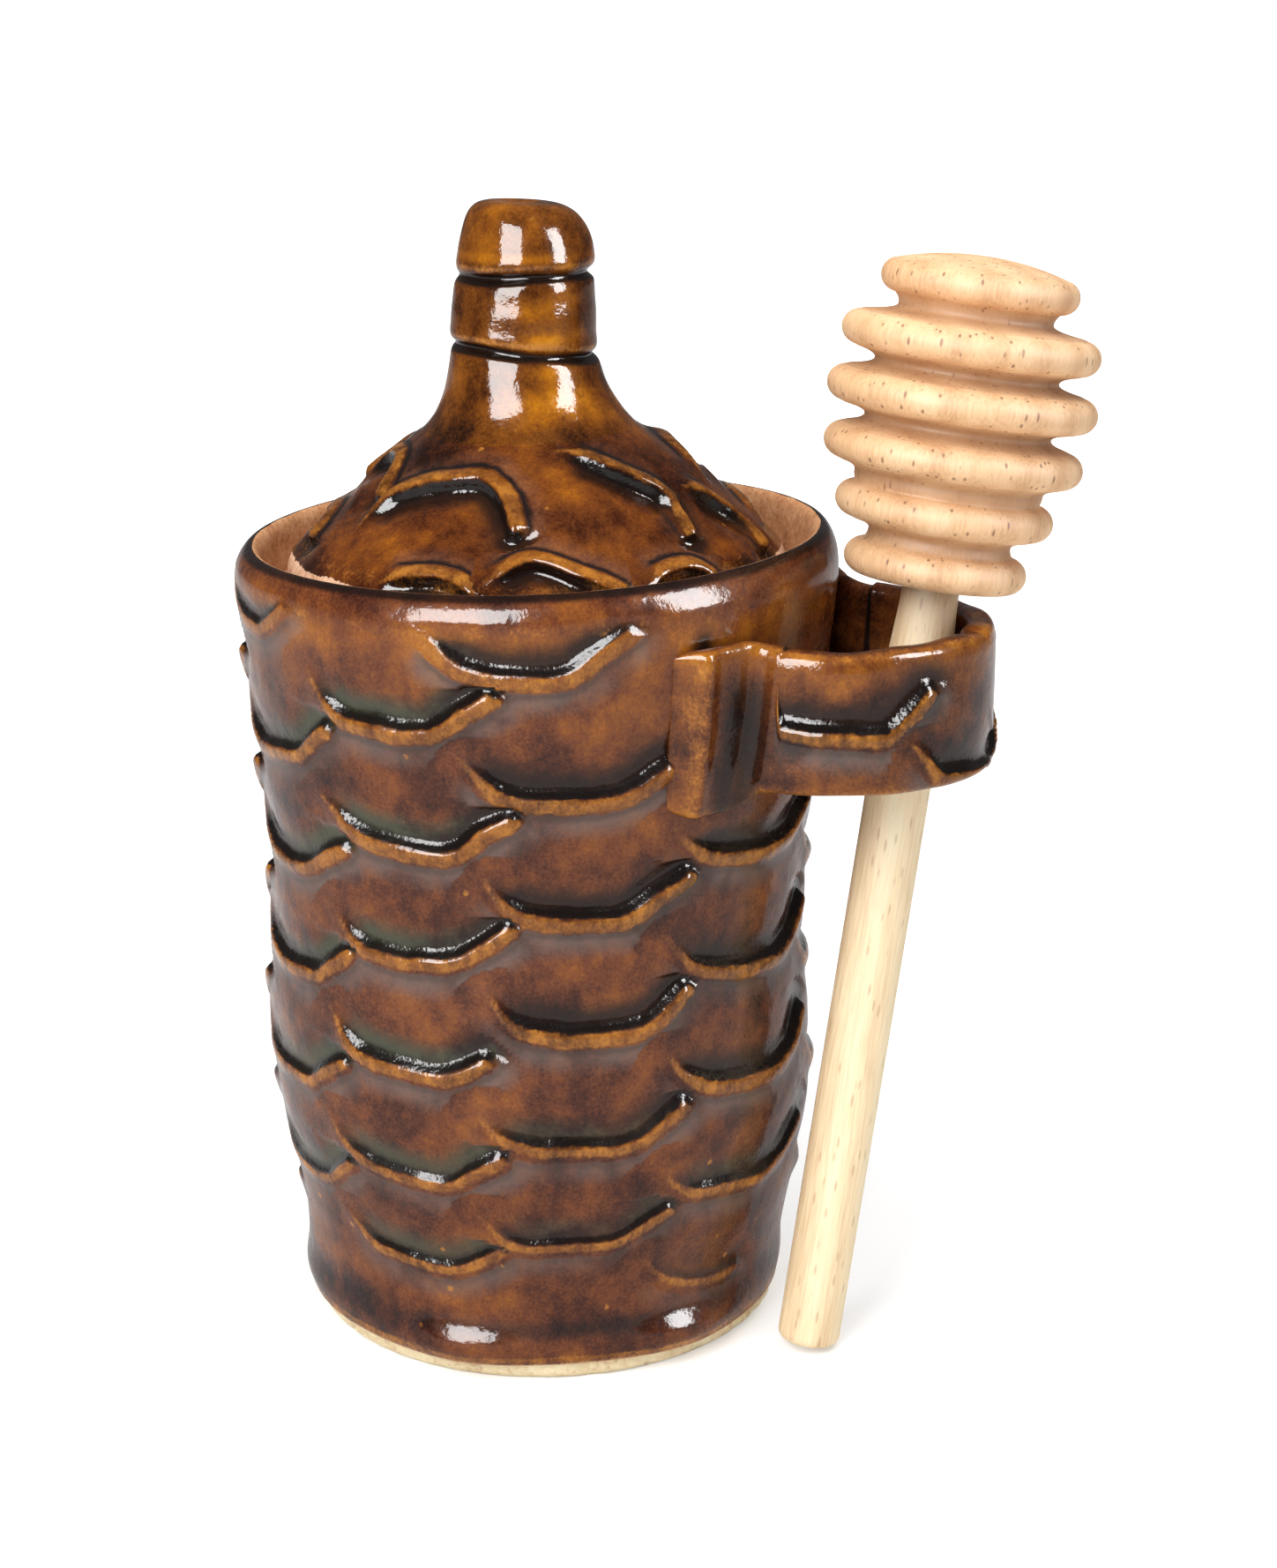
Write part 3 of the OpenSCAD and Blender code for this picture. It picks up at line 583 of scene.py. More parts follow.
# lower lips read off the photograph: force, then (angle, height) along each crest
wallLips = [
    (0.7, [(-152, 108.5), (-145, 104), (-137.4, 102.9), (-130.7, 102.8), (-126, 104.5), (-120.4, 107.2)]),
    (0.8, [(-153, 91.5), (-147, 87), (-139, 85.4), (-125.7, 86.4), (-119.5, 87.4), (-115.4, 90), (-111.9, 91.9)]),
    (0.8, [(-152, 76), (-145, 71.8), (-138, 70.6), (-128.6, 70.5), (-121.1, 71), (-115.6, 73.7), (-109.9, 75.5)]),
    (0.75, [(-151, 61), (-144, 56.6), (-136, 55.5), (-126.5, 55.6), (-118.9, 56.2), (-114.9, 58.4), (-109.6, 60.8)]),
    (0.65, [(-152, 45), (-145, 41), (-137, 40.2), (-128, 40.3), (-121.9, 40.7), (-116.7, 42.8), (-111.6, 45.1)]),
    (0.6, [(-151, 30), (-145, 26.4), (-138.4, 25), (-128, 25.1), (-120.4, 25.9), (-116, 28.3), (-111.8, 30.1)]),
    (1.05, [(-114.4, 99.2), (-110.4, 95.3), (-106.4, 93.8), (-99.8, 93.5), (-93.8, 93.3), (-87, 93.7), (-83.8, 95.3),
            (-76.4, 98.8)]),
    (0.95, [(-115.4, 82.6), (-110.8, 80.6), (-107, 78.4), (-102.3, 77.4), (-95.8, 77), (-86.8, 76.7), (-82.4, 77.8),
            (-78.5, 80.1), (-73, 82.1)]),
    (0.85, [(-113.6, 66.8), (-110.2, 64.2), (-107.2, 62.5), (-104, 61.8), (-97, 61.5), (-86.9, 61.8), (-82.5, 63),
            (-76.8, 65.3), (-73.9, 67)]),
    (0.8, [(-114.8, 52.8), (-110.9, 49.5), (-107.6, 47.5), (-102.2, 46.8), (-95.5, 46.4), (-88.3, 45.9), (-84.2, 46.8),
           (-79.2, 48.6)]),
    (0.65, [(-116.8, 37.4), (-113.7, 34.2), (-110, 32.2), (-104, 31), (-97, 30.5), (-89, 30.1), (-85.4, 30.9),
            (-81.1, 32.9), (-76.3, 35)]),
    (0.6, [(-118, 22.4), (-113.2, 19.8), (-108.4, 17.9), (-101.3, 17.4), (-93.9, 17.1), (-87.9, 17), (-83.5, 18.4),
           (-77, 20.7)]),
    (1.0, [(-91.6, 107.8), (-86.8, 106), (-84.2, 103.8), (-81.5, 102.4), (-76.9, 101.7), (-71.9, 101.3),
           (-63.3, 101.2), (-60.2, 102), (-56.4, 104.4), (-51.4, 106.6)]),
    (1.1, [(-82.4, 90.5), (-79, 88.3), (-75.5, 86), (-72.3, 84.9), (-69.3, 84.7), (-59.4, 84.6), (-52.6, 84.7),
           (-48.1, 85.9), (-42.8, 88.1)]),
    (1.1, [(-79, 74), (-75.2, 70.6), (-71.1, 68.8), (-66.2, 68.3), (-59.3, 68), (-52.2, 67.8), (-47.7, 68.4),
           (-43.2, 70.5), (-37.3, 72.8)]),
    (0.95, [(-78.6, 58), (-74.9, 54.8), (-72.1, 53.5), (-68.6, 52.8), (-63.1, 52.3), (-52.3, 51.9), (-46.3, 52.2),
            (-42.3, 53.8), (-37.3, 56.6)]),
    (0.65, [(-81.3, 42.6), (-78, 39.2), (-74.5, 37.3), (-70.3, 36.7), (-63.4, 36.5), (-52.7, 36.1), (-48.3, 36.4),
            (-43.7, 38.3), (-38, 40.6)]),
    (0.55, [(-82.2, 26.8), (-79, 23.8), (-75.4, 22), (-70.9, 21.5), (-63.4, 21.6), (-52.8, 21.5), (-48, 22.9),
            (-40.7, 25.4)]),
    (1.0, [(-41, 79.5), (-37.3, 76.7), (-33.4, 75.1), (-28.3, 74), (-17.6, 73.1), (-9.4, 72.8), (-3, 74), (5, 77.5)]),
    (0.95, [(-41.8, 64.4), (-36.4, 60.2), (-32, 58.7), (-25, 57.6), (-17, 56.7), (-8.4, 56.3), (-1, 57.6), (7, 61.5)]),
    (0.85, [(-43, 49), (-38.5, 45), (-34.4, 43.2), (-30, 42.3), (-20.8, 41.2), (-10.6, 40.8), (-2, 42.2), (6, 45.8)]),
    (0.65, [(-44, 31.8), (-38.6, 28.4), (-34.5, 27.1), (-25.7, 26.3), (-14.7, 25.2), (-5, 26.6), (3, 30)]),
    (0.4, [(-46, 17.9), (-40.2, 14), (-33.3, 12.3), (-27, 11.6), (-18, 11.6)]),
]
# the columns that it doesn't show, by the same stamp: angle, then heights
scaleColumns = {
    24: [66.5, 51, 35.5, 20], 48: [74, 58.5, 43, 27.5, 12], 84: [99.5, 84, 68.5, 53, 37.5, 22],
    120: [91.5, 76, 60.5, 45, 29.5, 14], 156: [100.5, 85, 69.5, 54, 38.5, 23], 190: [92, 76.5, 61, 45.5, 30, 14.5],
}
lipShape = [(-13.2, 5.9), (-7.6, 0.5), (7.4, -0.5), (13.4, 5.0)]
flatPerDegree = 0.663

wallLeft = softCurve(wallSettings["leftSide"])
wallRight = softCurve(wallSettings["rightSide"])


def wallRadius(angle, z):
    # the two measured sides pass into each other round the pot
    share = (1 + np.cos(np.radians(angle - wallSettings["left"]))) / 2
    return blended(wallRight(z), wallLeft(z), share)


def rimWave(angle, z):
    rise = eased((z - 103.7) / 8.3)
    return rise * (wallSettings["waveHeight"] * np.cos(np.radians(angle - wallSettings["waveSide"]))
                   + harmonics(11, angle, 0.22))


def keepWithin(piece, reach):
    # lumps that would stand out past the pot's own width are eased back
    count = len(piece.data.vertices)
    places = np.empty(count * 3, np.float32)
    piece.data.vertices.foreach_get("co", places)
    places = places.reshape(count, 3)
    radius = np.hypot(places[:, 0], places[:, 1]) / mm
    soft = reach - 0.5
    held = np.where(radius > soft, soft + 0.5 * np.tanh((radius - soft) / 0.8), radius)
    places[:, :2] *= (held / radius)[:, None]
    piece.data.vertices.foreach_set("co", places.ravel())
    piece.data.update()


def buildWall(tree, material):
    s = wallSettings
    outside = np.linspace(s["footEdge"], s["rimStart"], s["outsideRows"])
    rim = denseLine(s["rim"], 34, 0.35)[1:]
    inside = np.concatenate([np.linspace(107.6, 96, 12), np.linspace(92, 4, 20)])
    z = np.concatenate([outside, rim[:, 1], inside])
    inward = np.concatenate([np.zeros(len(outside)), rim[:, 0], np.full(len(inside), s["thickness"])])
    skin = np.concatenate([np.ones(len(outside)), 1 - eased(rim[:, 0] / 1.6), np.zeros(len(inside))])
    a, zz, inn, pressed = roundGrid(s["around"], z, inward, skin)
    radius = wallRadius(a, np.minimum(zz, 108.6)) - inn
    thumbs = s["thumbLeast"]
    for angle, wide, share in s["thumbs"]:
        thumbs = thumbs + share * bell(a, angle, wide)
    radius = radius + bell(zz, s["thumbHeight"], s["thumbTall"]) * thumbs * (inn < 0.01)
    radius = radius + (inn > 0.01) * (inn < s["thickness"]) * harmonics(17, a, 0.12)
    points = polarPoints(a, radius, zz + rimWave(a, zz))
    # no scales where the loop is joined on
    aroundLoop = np.clip((s["loopHalf"] - np.abs(a)) / 3, 0, 1) * np.clip((zz - s["loopLow"]) / 3, 0, 1)
    fade = np.clip((zz - 5.5) / 4, 0, 1) * np.clip((109.5 - zz) / 4.5, 0, 1)
    pressed = pressed * fade * (1 - aroundLoop)
    onOutside = inn < 1.4
    rimTop = np.exp(-np.clip((111.3 - zz) / 0.55, 0, 9) ** 2) * (zz > 107) * (inn < 3.3)
    # painted shade on the wall beside the loop's tab, where the strap stands off the wall
    paintedShadeByLoop = bell(np.abs(a), 36.5, 3.2) * np.clip((zz - 80) / 4, 0, 1) * np.clip((108 - zz) / 4, 0, 1)
    attributes = {
        "flat": np.stack([a * flatPerDegree, zz, 0 * a], -1), "outward": polarPoints(a, 1, 0 * a), "pressed": pressed,
        "thin": (0.3 * bell(zz, 107.2, 1.6) + 0.75 * bell(zz, 3.6, 0.6)) * onOutside,
        # pools run green on the side away from the loop and low down
        "green": (0.95 * bell(a, -108, 26) + 0.5 * bell(zz, 30, 16) + 0.4 * bell(a, 120, 60)) * onOutside,
        "warm": (1.0 * bell(zz, 105.4, 3.6) + 0.35 * bell(zz, 12.5, 3) - 0.75 * bell(zz, 8.0, 2.6)
                 + 0.45 * bell(a, -45, 22) * bell(zz, 100, 8)) * onOutside,
        "dark": 0.66 * rimTop + (0.5 * bell(zz, 8.2, 1.8) * bell(a, -60, 60) + 0.75 * paintedShadeByLoop) * onOutside,
        "bare": np.where((inn > 2.9) & (zz > 103.0), 1.0, 0.0) + 0.9 * (zz < 3.1) * onOutside,
    }
    piece = skinMesh("potWall", points, attributes, ring=True)
    piece.data.materials.append(material)
    places = [(column + turn, height) for column, heights in scaleColumns.items()
              for turn in (-360, 0, 360) if -215 < column + turn < 215 for height in heights]
    stamps = stampPoints("wallStamps", [(c * flatPerDegree, h) for c, h in places], 5, 0.3,
                         [0.6 + 0.4 * float(eased((h - 30) / 40)) for c, h in places])
    outline = lipOutline("wallLip", lipShape)
    lines = []
    for force, lip in wallLips:
        for turn in (0, 360):
            line = denseLine([((angle + turn) * flatPerDegree, height) for angle, height in lip], 50, 0.8)
            lines.append((line, [(0, 1)] * len(line), force))
    pressScales(piece, tree, s, material, stamps, outline, lineMesh("wallLips", lines))
    keepWithin(piece, s["reach"])
    return piece


# Base slab

baseSettings = {"around": 300, "radius": 33.0, "inside": 29.3, "height": 4.0, "coil": 3.0}


def buildBase(material):
    s = baseSettings
    inside = s["inside"]
    outline = denseLine([(2, 0), (30, 0), (s["radius"] - 0.9, 0.0), (s["radius"], 0.9), (s["radius"] + 0.25, 2.4),
                         (s["radius"] + 0.1, s["height"])], 70, 0.25)
    coil = arc(inside - s["coil"], s["height"] + s["coil"], s["coil"], range(0, -91, -10))
    outline = np.concatenate([outline, [(inside, s["height"])], coil, [(20, s["height"]), (2, s["height"])]])

    def shape(a, r, z):
        # the cut edge is chipped and wavers
        edge = (r > 32) * (harmonics(31, a, 0.28, (3, 5, 8, 13)) + harmonics(33, a, 0.16, (21, 34, 55, 70)))
        chips = (r > 32) * 0.35 * np.clip(np.sin(np.radians(a) * 37 + z) * np.sin(np.radians(a) * 11), 0, 1)
        return polarPoints(a, r + edge * bell(z, 2, 2.4) - chips, z)

    piece = lathe("potBase", outline, s["around"], shape)
    piece.data.materials.append(material)
    return piece


# Dipper loop

loopSettings = {
    "reach": 42.5, "radius": 17.3, "thickness": 3.9, "low": 84.0, "height": 19.0, "flare": 3.0,
    "bend": 4.6, "slip": 0.15, "tabEnd": 42.5, "tabThickness": 1.9, "spread": 10, "lipHeight": 0.8, "poolDepth": 0.8,
    "waver": 1.2, "handLumps": 0.5, "seed": 8,
    # lips on the strap: how far along it from its middle, height
    "scales": [(-27, 92.6), (-2.8, 84.6), (27, 93.2), (21, 84)],
}


def plainWall(z):
    # the plain wall that the loop's tabs were fitted to
    z = np.asarray(z, float)
    low = blended(33.4, 38.4, eased(z / 38.08))
    middle = blended(38.4, 37.5, eased((z - 38.08) / 21.28))
    high = blended(37.5, 41.6, eased((z - 59.36) / 48.64))
    return np.where(z < 38.08, low, np.where(z < 59.36, middle, high))


def buildLoop(tree, material):
    s = loopSettings
    thick0, bend, armY = s["thickness"], s["bend"], s["radius"] + s["thickness"] / 2
    half = [(0, t) for t in np.linspace(0, 1, 61)[1:]] + [(1, t) for t in np.linspace(0, 1, 11)[1:]] \
        + [(2, t) for t in np.linspace(0, 1, 15)[1:]] + [(3, t ** 0.75) for t in np.linspace(0, 1, 34)[1:]]
    rings = [(part, t, -1) for part, t in half[::-1]] + [(0, 0.0, 1)] + [(part, t, 1) for part, t in half]
    roundArc = (s["radius"] + thick0) * math.pi / 2

    def section(thick, high):
        # rounded strap section: depth out from the inner face, height
        e = min(1.45, thick * 0.47)
        inner = [(0.0, z) for z in np.linspace(e, high - e, 16)]
        top = arc(e, high - e, e, range(165, 89, -15)) + arc(thick - e, high - e, e, range(90, -1, -15))
        outer = [(thick + 0.18, z) for z in np.linspace(high - e, e, 30)[1:-1]]
        low = arc(thick - e, e, e, range(0, -91, -15)) + arc(e, e, e, range(-90, -166, -15))
        return np.array(inner + top + outer + low)

    rows, flats, outs, pressed, thin, dark, warm = [], [], [], [], [], [], []
    for part, t, side in rings:
        flare = 0 if part < 2 else (float(eased(t)) if part == 2 else 1)
        ending = max(0.0, (t - 0.55) / 0.45) if part == 3 else 0.0
        # the end swells to a soft ridge, then rounds off on to the wall
        thick = float(blended(thick0, s["tabThickness"], eased(t))) if part == 2 else thick0
        if part == 3:
            swell = s["tabThickness"] + 1.3 * float(bell(t, 0.66, 0.17))
            thick = max(0.5, swell * math.sqrt(max(0.0, 1 - ending ** 2)))
        low = s["low"] - s["flare"] * flare + 1.2 * ending ** 2
        high = s["height"] + 1.3 * s["flare"] * flare - 2.4 * ending ** 2
        shapeNow = section(thick, high)
        z = low + shapeNow[:, 1]
        depth = shapeNow[:, 0]
        bendX = np.sqrt((plainWall(z) + s["slip"] + thick0 / 2 + bend) ** 2 - (armY + bend) ** 2)
        bendAngle = np.degrees(np.arctan2(armY + bend, bendX))
        if part == 0:
            turned = math.pi / 2 * t
            x = s["reach"] + (s["radius"] + depth) * math.cos(turned)
            y = (s["radius"] + depth) * math.sin(turned)
            nx, ny = math.cos(turned) + 0 * x, math.sin(turned) + 0 * x
            along = roundArc * t
        elif part == 1:
            x = blended(s["reach"], bendX, t)
            y = s["radius"] + depth
            nx, ny = 0 * x, 1 + 0 * x
            along = roundArc + (s["reach"] - 33) * t
        elif part == 2:
            turned = np.radians(-90 - t * (90 - bendAngle))
            r = bend + thick0 / 2 - depth
            x = bendX + r * np.cos(turned)
            y = armY + bend + r * np.sin(turned)
            nx, ny = -np.cos(turned), -np.sin(turned)
            along = roundArc + s["reach"] - 33 + 4 * t
        else:
            turned = np.radians(blended(bendAngle, s["tabEnd"], t))
            sunk = float(eased((t - 0.3) / 0.7))
            r = blended(plainWall(z) + s["slip"], wallRadius(side * np.degrees(turned), z) - 0.5, sunk) + depth
            x, y = r * np.cos(turned), r * np.sin(turned)
            nx, ny = np.cos(turned), np.sin(turned)
            along = roundArc + s["reach"] - 29 + 8 * t
        # hand-cut edges of the strap waver a little
        waverNow = 0.28 * math.sin(along * 0.21 + side) + 0.16 * math.sin(along * 0.53 + 2 * side)
        z = z + waverNow * (shapeNow[:, 1] / high - 0.3) * (part < 3)
        outerFace = np.clip((depth - thick * 0.55) / (thick * 0.3), 0, 1)
        edgeNear = np.maximum(bell(z, low + high, 1.3), bell(z, low, 1.3)) * outerFace
        rows.append(np.stack([x, side * y, z], -1))
        flats.append(np.stack([side * along + 0 * z, z, 0 * z], -1))
        outs.append(np.stack([nx, side * ny, 0 * z], -1))
        reliefHere = 1.0 if part < 2 else max(0.0, 1 - 1.4 * t) if part == 2 else 0.0
        pressed.append(outerFace * reliefHere)
        tabRidge = float(bell(t, 0.72, 0.16)) if part == 3 else 0.0
        thin.append(0.5 * edgeNear * (part < 3) + 0.5 * tabRidge * outerFace)
        topBand = bell(z, low + high - 2.2, 3.0)
        warm.append((0.9 * topBand + 0.8 * edgeNear + 0.7 * tabRidge) * outerFace + (1 - outerFace) * 0.3)
        # painted shade in the crease where the strap bends on to the wall, and a darker stripe down its inside
        paintedBendShade = float(bell(t, 0.7, 0.75)) if part == 2 else (float(bell(t, 0.12, 0.32)) if part == 3 else 0.0)
        inside = 0.9 * float(bell(side * along, 38, 4) + bell(side * along, -38, 5)) * (1 - outerFace)
        dark.append(0.62 * paintedBendShade * outerFace * (1 - 0.7 * topBand) + inside)
    attributes = {"flat": flats, "outward": outs, "pressed": pressed, "thin": thin, "dark": dark, "warm": warm}
    piece = skinMesh("dipperLoop", np.array(rows), {label: np.array(values) for label, values in attributes.items()},
                     joinEnds=False, ring=True, caps=True)
    piece.data.materials.append(material)
    stamps = stampPoints("strapStamps", s["scales"], 9, 0.2, 0.85)
    pressScales(piece, tree, s, material, stamps, lipOutline("strapLip", lipShape))
    return piece


# Lid

lidSettings = {
    "radius": 34.2, "edgeLow": 103.95, "edgeTop": 108.15, "rise": 24.0, "thickness": 5.0, "around": 380,
    "spread": 9.5, "lipHeight": 0.8, "poolDepth": 1.0, "waver": 1.2, "handLumps": 0.75, "seed": 14,
    # how far the dome is pulled to one side under the knob, and to which
    "shift": 1.1, "shiftSide": 203,
    # how far the thrown dome sags below an even one, on its full and on its low side
    "sag": (1.5, 2.3), "lowSide": -157,
}
# lips on the lid read off the photograph: (angle, radius) along each
lidLips = [
    [(-127, 28), (-126.5, 25), (-121, 22.4), (-109.6, 20.9), (-95.3, 19.8), (-87.2, 19.4), (-82.1, 20.3),
     (-76.3, 22.7), (-73.6, 25.6)],
    [(-57, 15.6), (-49.6, 16), (-44.2, 16.8), (-36.8, 18.4), (-29.4, 20.5), (-22.7, 22.3), (-19.8, 23.9),
     (-20, 25.7), (-20.6, 28)],
    [(-80.5, 32), (-77.8, 31.1), (-74.4, 30.2), (-69.2, 29), (-64.8, 29.5), (-59.1, 30.8), (-52.6, 32), (-49, 33)],
    [(-40.5, 32.6), (-36.5, 31.6), (-30, 31.2), (-26, 31.6), (-23.5, 32.8)],
    [(-106, 32.8), (-100, 31.6), (-92, 31.3), (-85.5, 31.8), (-82, 32.9)],
    [(-10.5, 22.7), (-1.4, 24.3), (5, 27), (6.5, 30), (5.5, 32)],
]


def domeHeight(r):
    s = lidSettings
    return s["edgeTop"] + s["rise"] * (1 - (r / s["radius"]) ** 2)


domeSteps = np.linspace(0, 36, 400)
domeArc = np.concatenate([[0], np.cumsum(np.hypot(np.diff(domeSteps), np.diff(domeHeight(domeSteps))))])


def unrolled(r):
    # distance from the lid's centre measured along the dome
    return np.interp(r, domeSteps, domeArc)


def lidPull(r):
    return lidSettings["shift"] * (1 - eased((r - 12.5) / 10))


def lidSag(a, r):
    # a hand-thrown dome, drawn up to the knob and low round it
    s = lidSettings
    share = (1 + np.cos(np.radians(a - s["lowSide"]))) / 2
    return blended(s["sag"][0], s["sag"][1], share) * eased((r - 9) / 4) * (1 - eased((r - 25) / 8.5))


def buildLid(tree, material):
    s = lidSettings
    outline = [(r, float(domeHeight(r)), 1.0) for r in np.linspace(6, s["radius"] - 0.7, 128)]
    edge = denseLine([(33.5, float(domeHeight(33.5))), (34.0, 108.0), (s["radius"], 107.2), (34.15, 105.8),
                      (33.9, 104.7), (33.3, s["edgeLow"])], 18, 0.3)[1:]
    outline += [(r, z, 0.0) for r, z in edge]
    outline += [(r, s["edgeLow"], 0.0) for r in (32.5, 31.2, 30.2)]
    outline += [(r, float(domeHeight(r)) - s["thickness"], 0.0) for r in np.linspace(27.7, 15, 14)]
    outline += [(10, float(domeHeight(15)) - s["thickness"] + 1.4, 0.0), (6.8, float(domeHeight(15)) - 3, 0.0)]
    a, r, z, skin = roundGrid(s["around"], *np.array(outline).T)
    wobble = harmonics(21, a, 0.2, (2, 3, 5)) * eased((r - 26) / 8)
    c, w = np.cos(np.radians(a)), np.sin(np.radians(a))
    turned = math.radians(s["shiftSide"])
    pull = lidPull(r)[..., None] * np.array([math.cos(turned), math.sin(turned), 0])
    points = polarPoints(a, r + np.minimum(wobble, 0.15), z - lidSag(a, r) * skin) + pull
    slope = 2 * s["rise"] * r / s["radius"] ** 2
    lean = np.sqrt(1 + slope ** 2)
    outward = np.stack([slope * c / lean, slope * w / lean, 1 / lean], -1)
    reach = unrolled(r)
    rimFade = np.clip(34.1 - r, 0, 1) * np.clip((r - 13.5) / 2.5, 0, 1)
    # the glaze is wiped off the edge in a ragged line
    wiped = 0.95 * eased((r - 33.05 - harmonics(27, a, 0.8, (5, 9, 13, 17))) / 0.9)
    attributes = {
        "flat": np.stack([reach * c, reach * w, 0 * r], -1), "outward": outward, "pressed": skin * rimFade,
        "thin": 0.35 * skin * bell(r, 32.2, 0.9),
        "dark": 0.35 * skin * bell(r, 17.5, 2.0) * (1 + np.cos(np.radians(a - 20))) / 2,
        "warm": skin * (0.9 * bell(r, 20, 4) * bell(a, -74, 26) + 0.5 * bell(r, 29, 3) - 0.2),
        "bare": np.where(skin > 0.5, wiped, 1.0) * (r > 30),
    }
    piece = skinMesh("lidDome", points, attributes,
                     poles=(points[:, 0].mean(0) + [0, 0, 0.3], points[:, -1].mean(0) + [0, 0, 0.2]))
    piece.data.materials.append(material)
    lips = list(lidLips)
    for centre, half in ((32, 24), (80, 24), (128, 24), (172, 20), (212, 20)):
        lips.append([(centre - half * 0.95, 23.6), (centre - half * 0.4, 18.8), (centre + half * 0.4, 18.7),
                     (centre + half * 0.93, 23.4)])
    for centre in (36, 68.5, 101.5, 134.5, 167, 199.5):
        lips.append([(centre - 15, 30.9), (centre - 6.5, 27.7), (centre + 6.5, 27.5), (centre + 14.6, 30.7)])
    lines = []
    for k, lip in enumerate(lips):
        polar = np.array(lip, float)
        turned, reach = np.radians(polar[:, 0]), unrolled(polar[:, 1])
        line = denseLine(np.stack([reach * np.cos(turned), reach * np.sin(turned)], 1), 40, 1.3)
        side = line / np.linalg.norm(line, axis=1)[:, None]
        lines.append((line, side, 1.0 + 0.15 * math.sin(3.1 * k)))
    pressScales(piece, tree, s, material, own=lineMesh("lidLips", lines))
    return piece


# Knob

knobSettings = {
    "around": 220, "strayToward": 23, "highest": 156.2,
    # (radius, height above the table) down the hand-pulled side, from the top to where it runs out on the dome
    "side": [(3.0, 156.05), (4.6, 155.95), (5.9, 155.6), (7.1, 154.75), (7.95, 153.4), (8.45, 152.0), (8.8, 150.4),
             (9.0, 148.8), (9.02, 147.0), (9.2, 145.6), (9.32, 144.2), (9.42, 142.6), (9.5, 141.0), (9.62, 139.6),
             (9.72, 138.2), (9.76, 136.9), (9.92, 135.6), (10.3, 134.2), (10.7, 132.6), (11.2, 131.0), (11.95, 129.4),
             (12.95, 127.7), (14.3, 126.1), (15.7, 124.85), (17.0, 123.75)],
    # groove heights, depths, and how each slants round the knob
    "grooves": [(146.75, 0.9, 0.15, 20), (136.75, 0.95, 0.95, -157)],
    # how far the knob's middle line strays to the camera's left, by height
    "stray": [(126.5, 0.6), (128.6, 0.85), (130, 1.0), (131.5, 1.28), (134.4, 1.54), (138.6, 1.48), (141.5, 1.4),
              (145.7, 1.19), (148.5, 0.98), (151.3, 0.88), (154, 1.1), (156.5, 1.7)],
    # patches where the glaze lies thin and golden: angle, height, half width in degrees, half height
    "patches": [(-50, 138.6, 26, 1.1, 0.75), (-46, 131.0, 30, 2.6, 0.95), (-62, 142.4, 22, 1.4, 0.5),
                (-105, 150.5, 16, 2.0, 0.4), (-52, 134.6, 26, 0.9, 0.5), (-30, 144.0, 18, 1.6, 0.45),
                (-75, 149.3, 70, 0.7, 0.55), (120, 138, 40, 1.5, 0.7), (150, 130, 50, 2.5, 0.7), (60, 149, 50, 1.5, 0.5)],
}


def buildKnob(material):
    s = knobSettings
    stray = softCurve(s["stray"], 1.2)
    side = denseLine(s["side"][::-1], 150, 0.5)
    outline = [(4, 127.6), (10, 126.2), (13.6, 124.6)] + [tuple(p) for p in side]
    outline += [(2.2, 155.75), (1.3, 155.55), (0.4, 155.5)]

    def groovePlace(k, a):
        place, depth, slant, toward = s["grooves"][k]
        return place + slant * np.cos(np.radians(a - toward)) + harmonics(41 + k, a, 0.2, (2, 3, 5))

    def shape(a, r, z):
        radius = r + harmonics(47, a + z * 3, 0.16, (2, 3, 4)) * np.clip((z - 129) / 5, 0, 1) * np.clip(r / 6, 0, 1)
        for k, (place, depth, slant, toward) in enumerate(s["grooves"]):
            away = z - groovePlace(k, a)
            uneven = 0.75 + 0.25 * np.sin(np.radians(3 * a + 80 * k))
            radius = radius - depth * uneven * bell(away, 0, 0.62)
            radius = radius + 0.12 * bell(away, 1.5, 1.0) + 0.06 * bell(away, -1.8, 1.2)
        # the bands between the grooves are a little barrel-shaped
        radius = radius + 0.22 * bell(z, 141.2, 2.6) + 0.1 * bell(z, 150, 2)
        # the top leans: its camera-left shoulder stands a little higher, and a dimple is pressed in it
        tip = 0.35 * np.cos(np.radians(a + 130)) * eased((z - 149) / 6) * np.clip(r / 6, 0, 1)
        left = stray(z)
        return (polarPoints(a, radius, np.minimum(z + tip, s["highest"]))
                - polarPoints(s["strayToward"], left, 0 * left))

    def marks(a, r, z):
        groove = 0 * z
        edge = 0 * z
        for k in range(len(s["grooves"])):
            away = z - groovePlace(k, a)
            uneven = 0.8 + 0.2 * np.sin(np.radians(3 * a + 80 * k))
            groove = np.maximum(groove, 1.25 * bell(away, -0.15, 0.85) * uneven)
            edge = np.maximum(edge, 0.62 * bell(away, 1.3, 0.5))
        patch = 0 * z
        for middle, high, wide, tall, share in s["patches"]:
            turn = (a - middle + 180) % 360 - 180
            patch = patch + share * bell(turn, 0, wide) * bell(z, high, tall)
        onFlare = bell(z, 127.0, 1.6)
        # no lip is near, so the lip's gap is large everywhere
        return {"thin": edge + 0.45 * patch, "warm": 2.2 * patch - 0.1 - 0.4 * onFlare, "dark": groove + 0.3 * onFlare,
                "lipGap": 0 * z + 30}

    piece = lathe("lidKnob", outline, s["around"], shape, marks)
    piece.data.materials.append(material)
    return piece


# Dipper

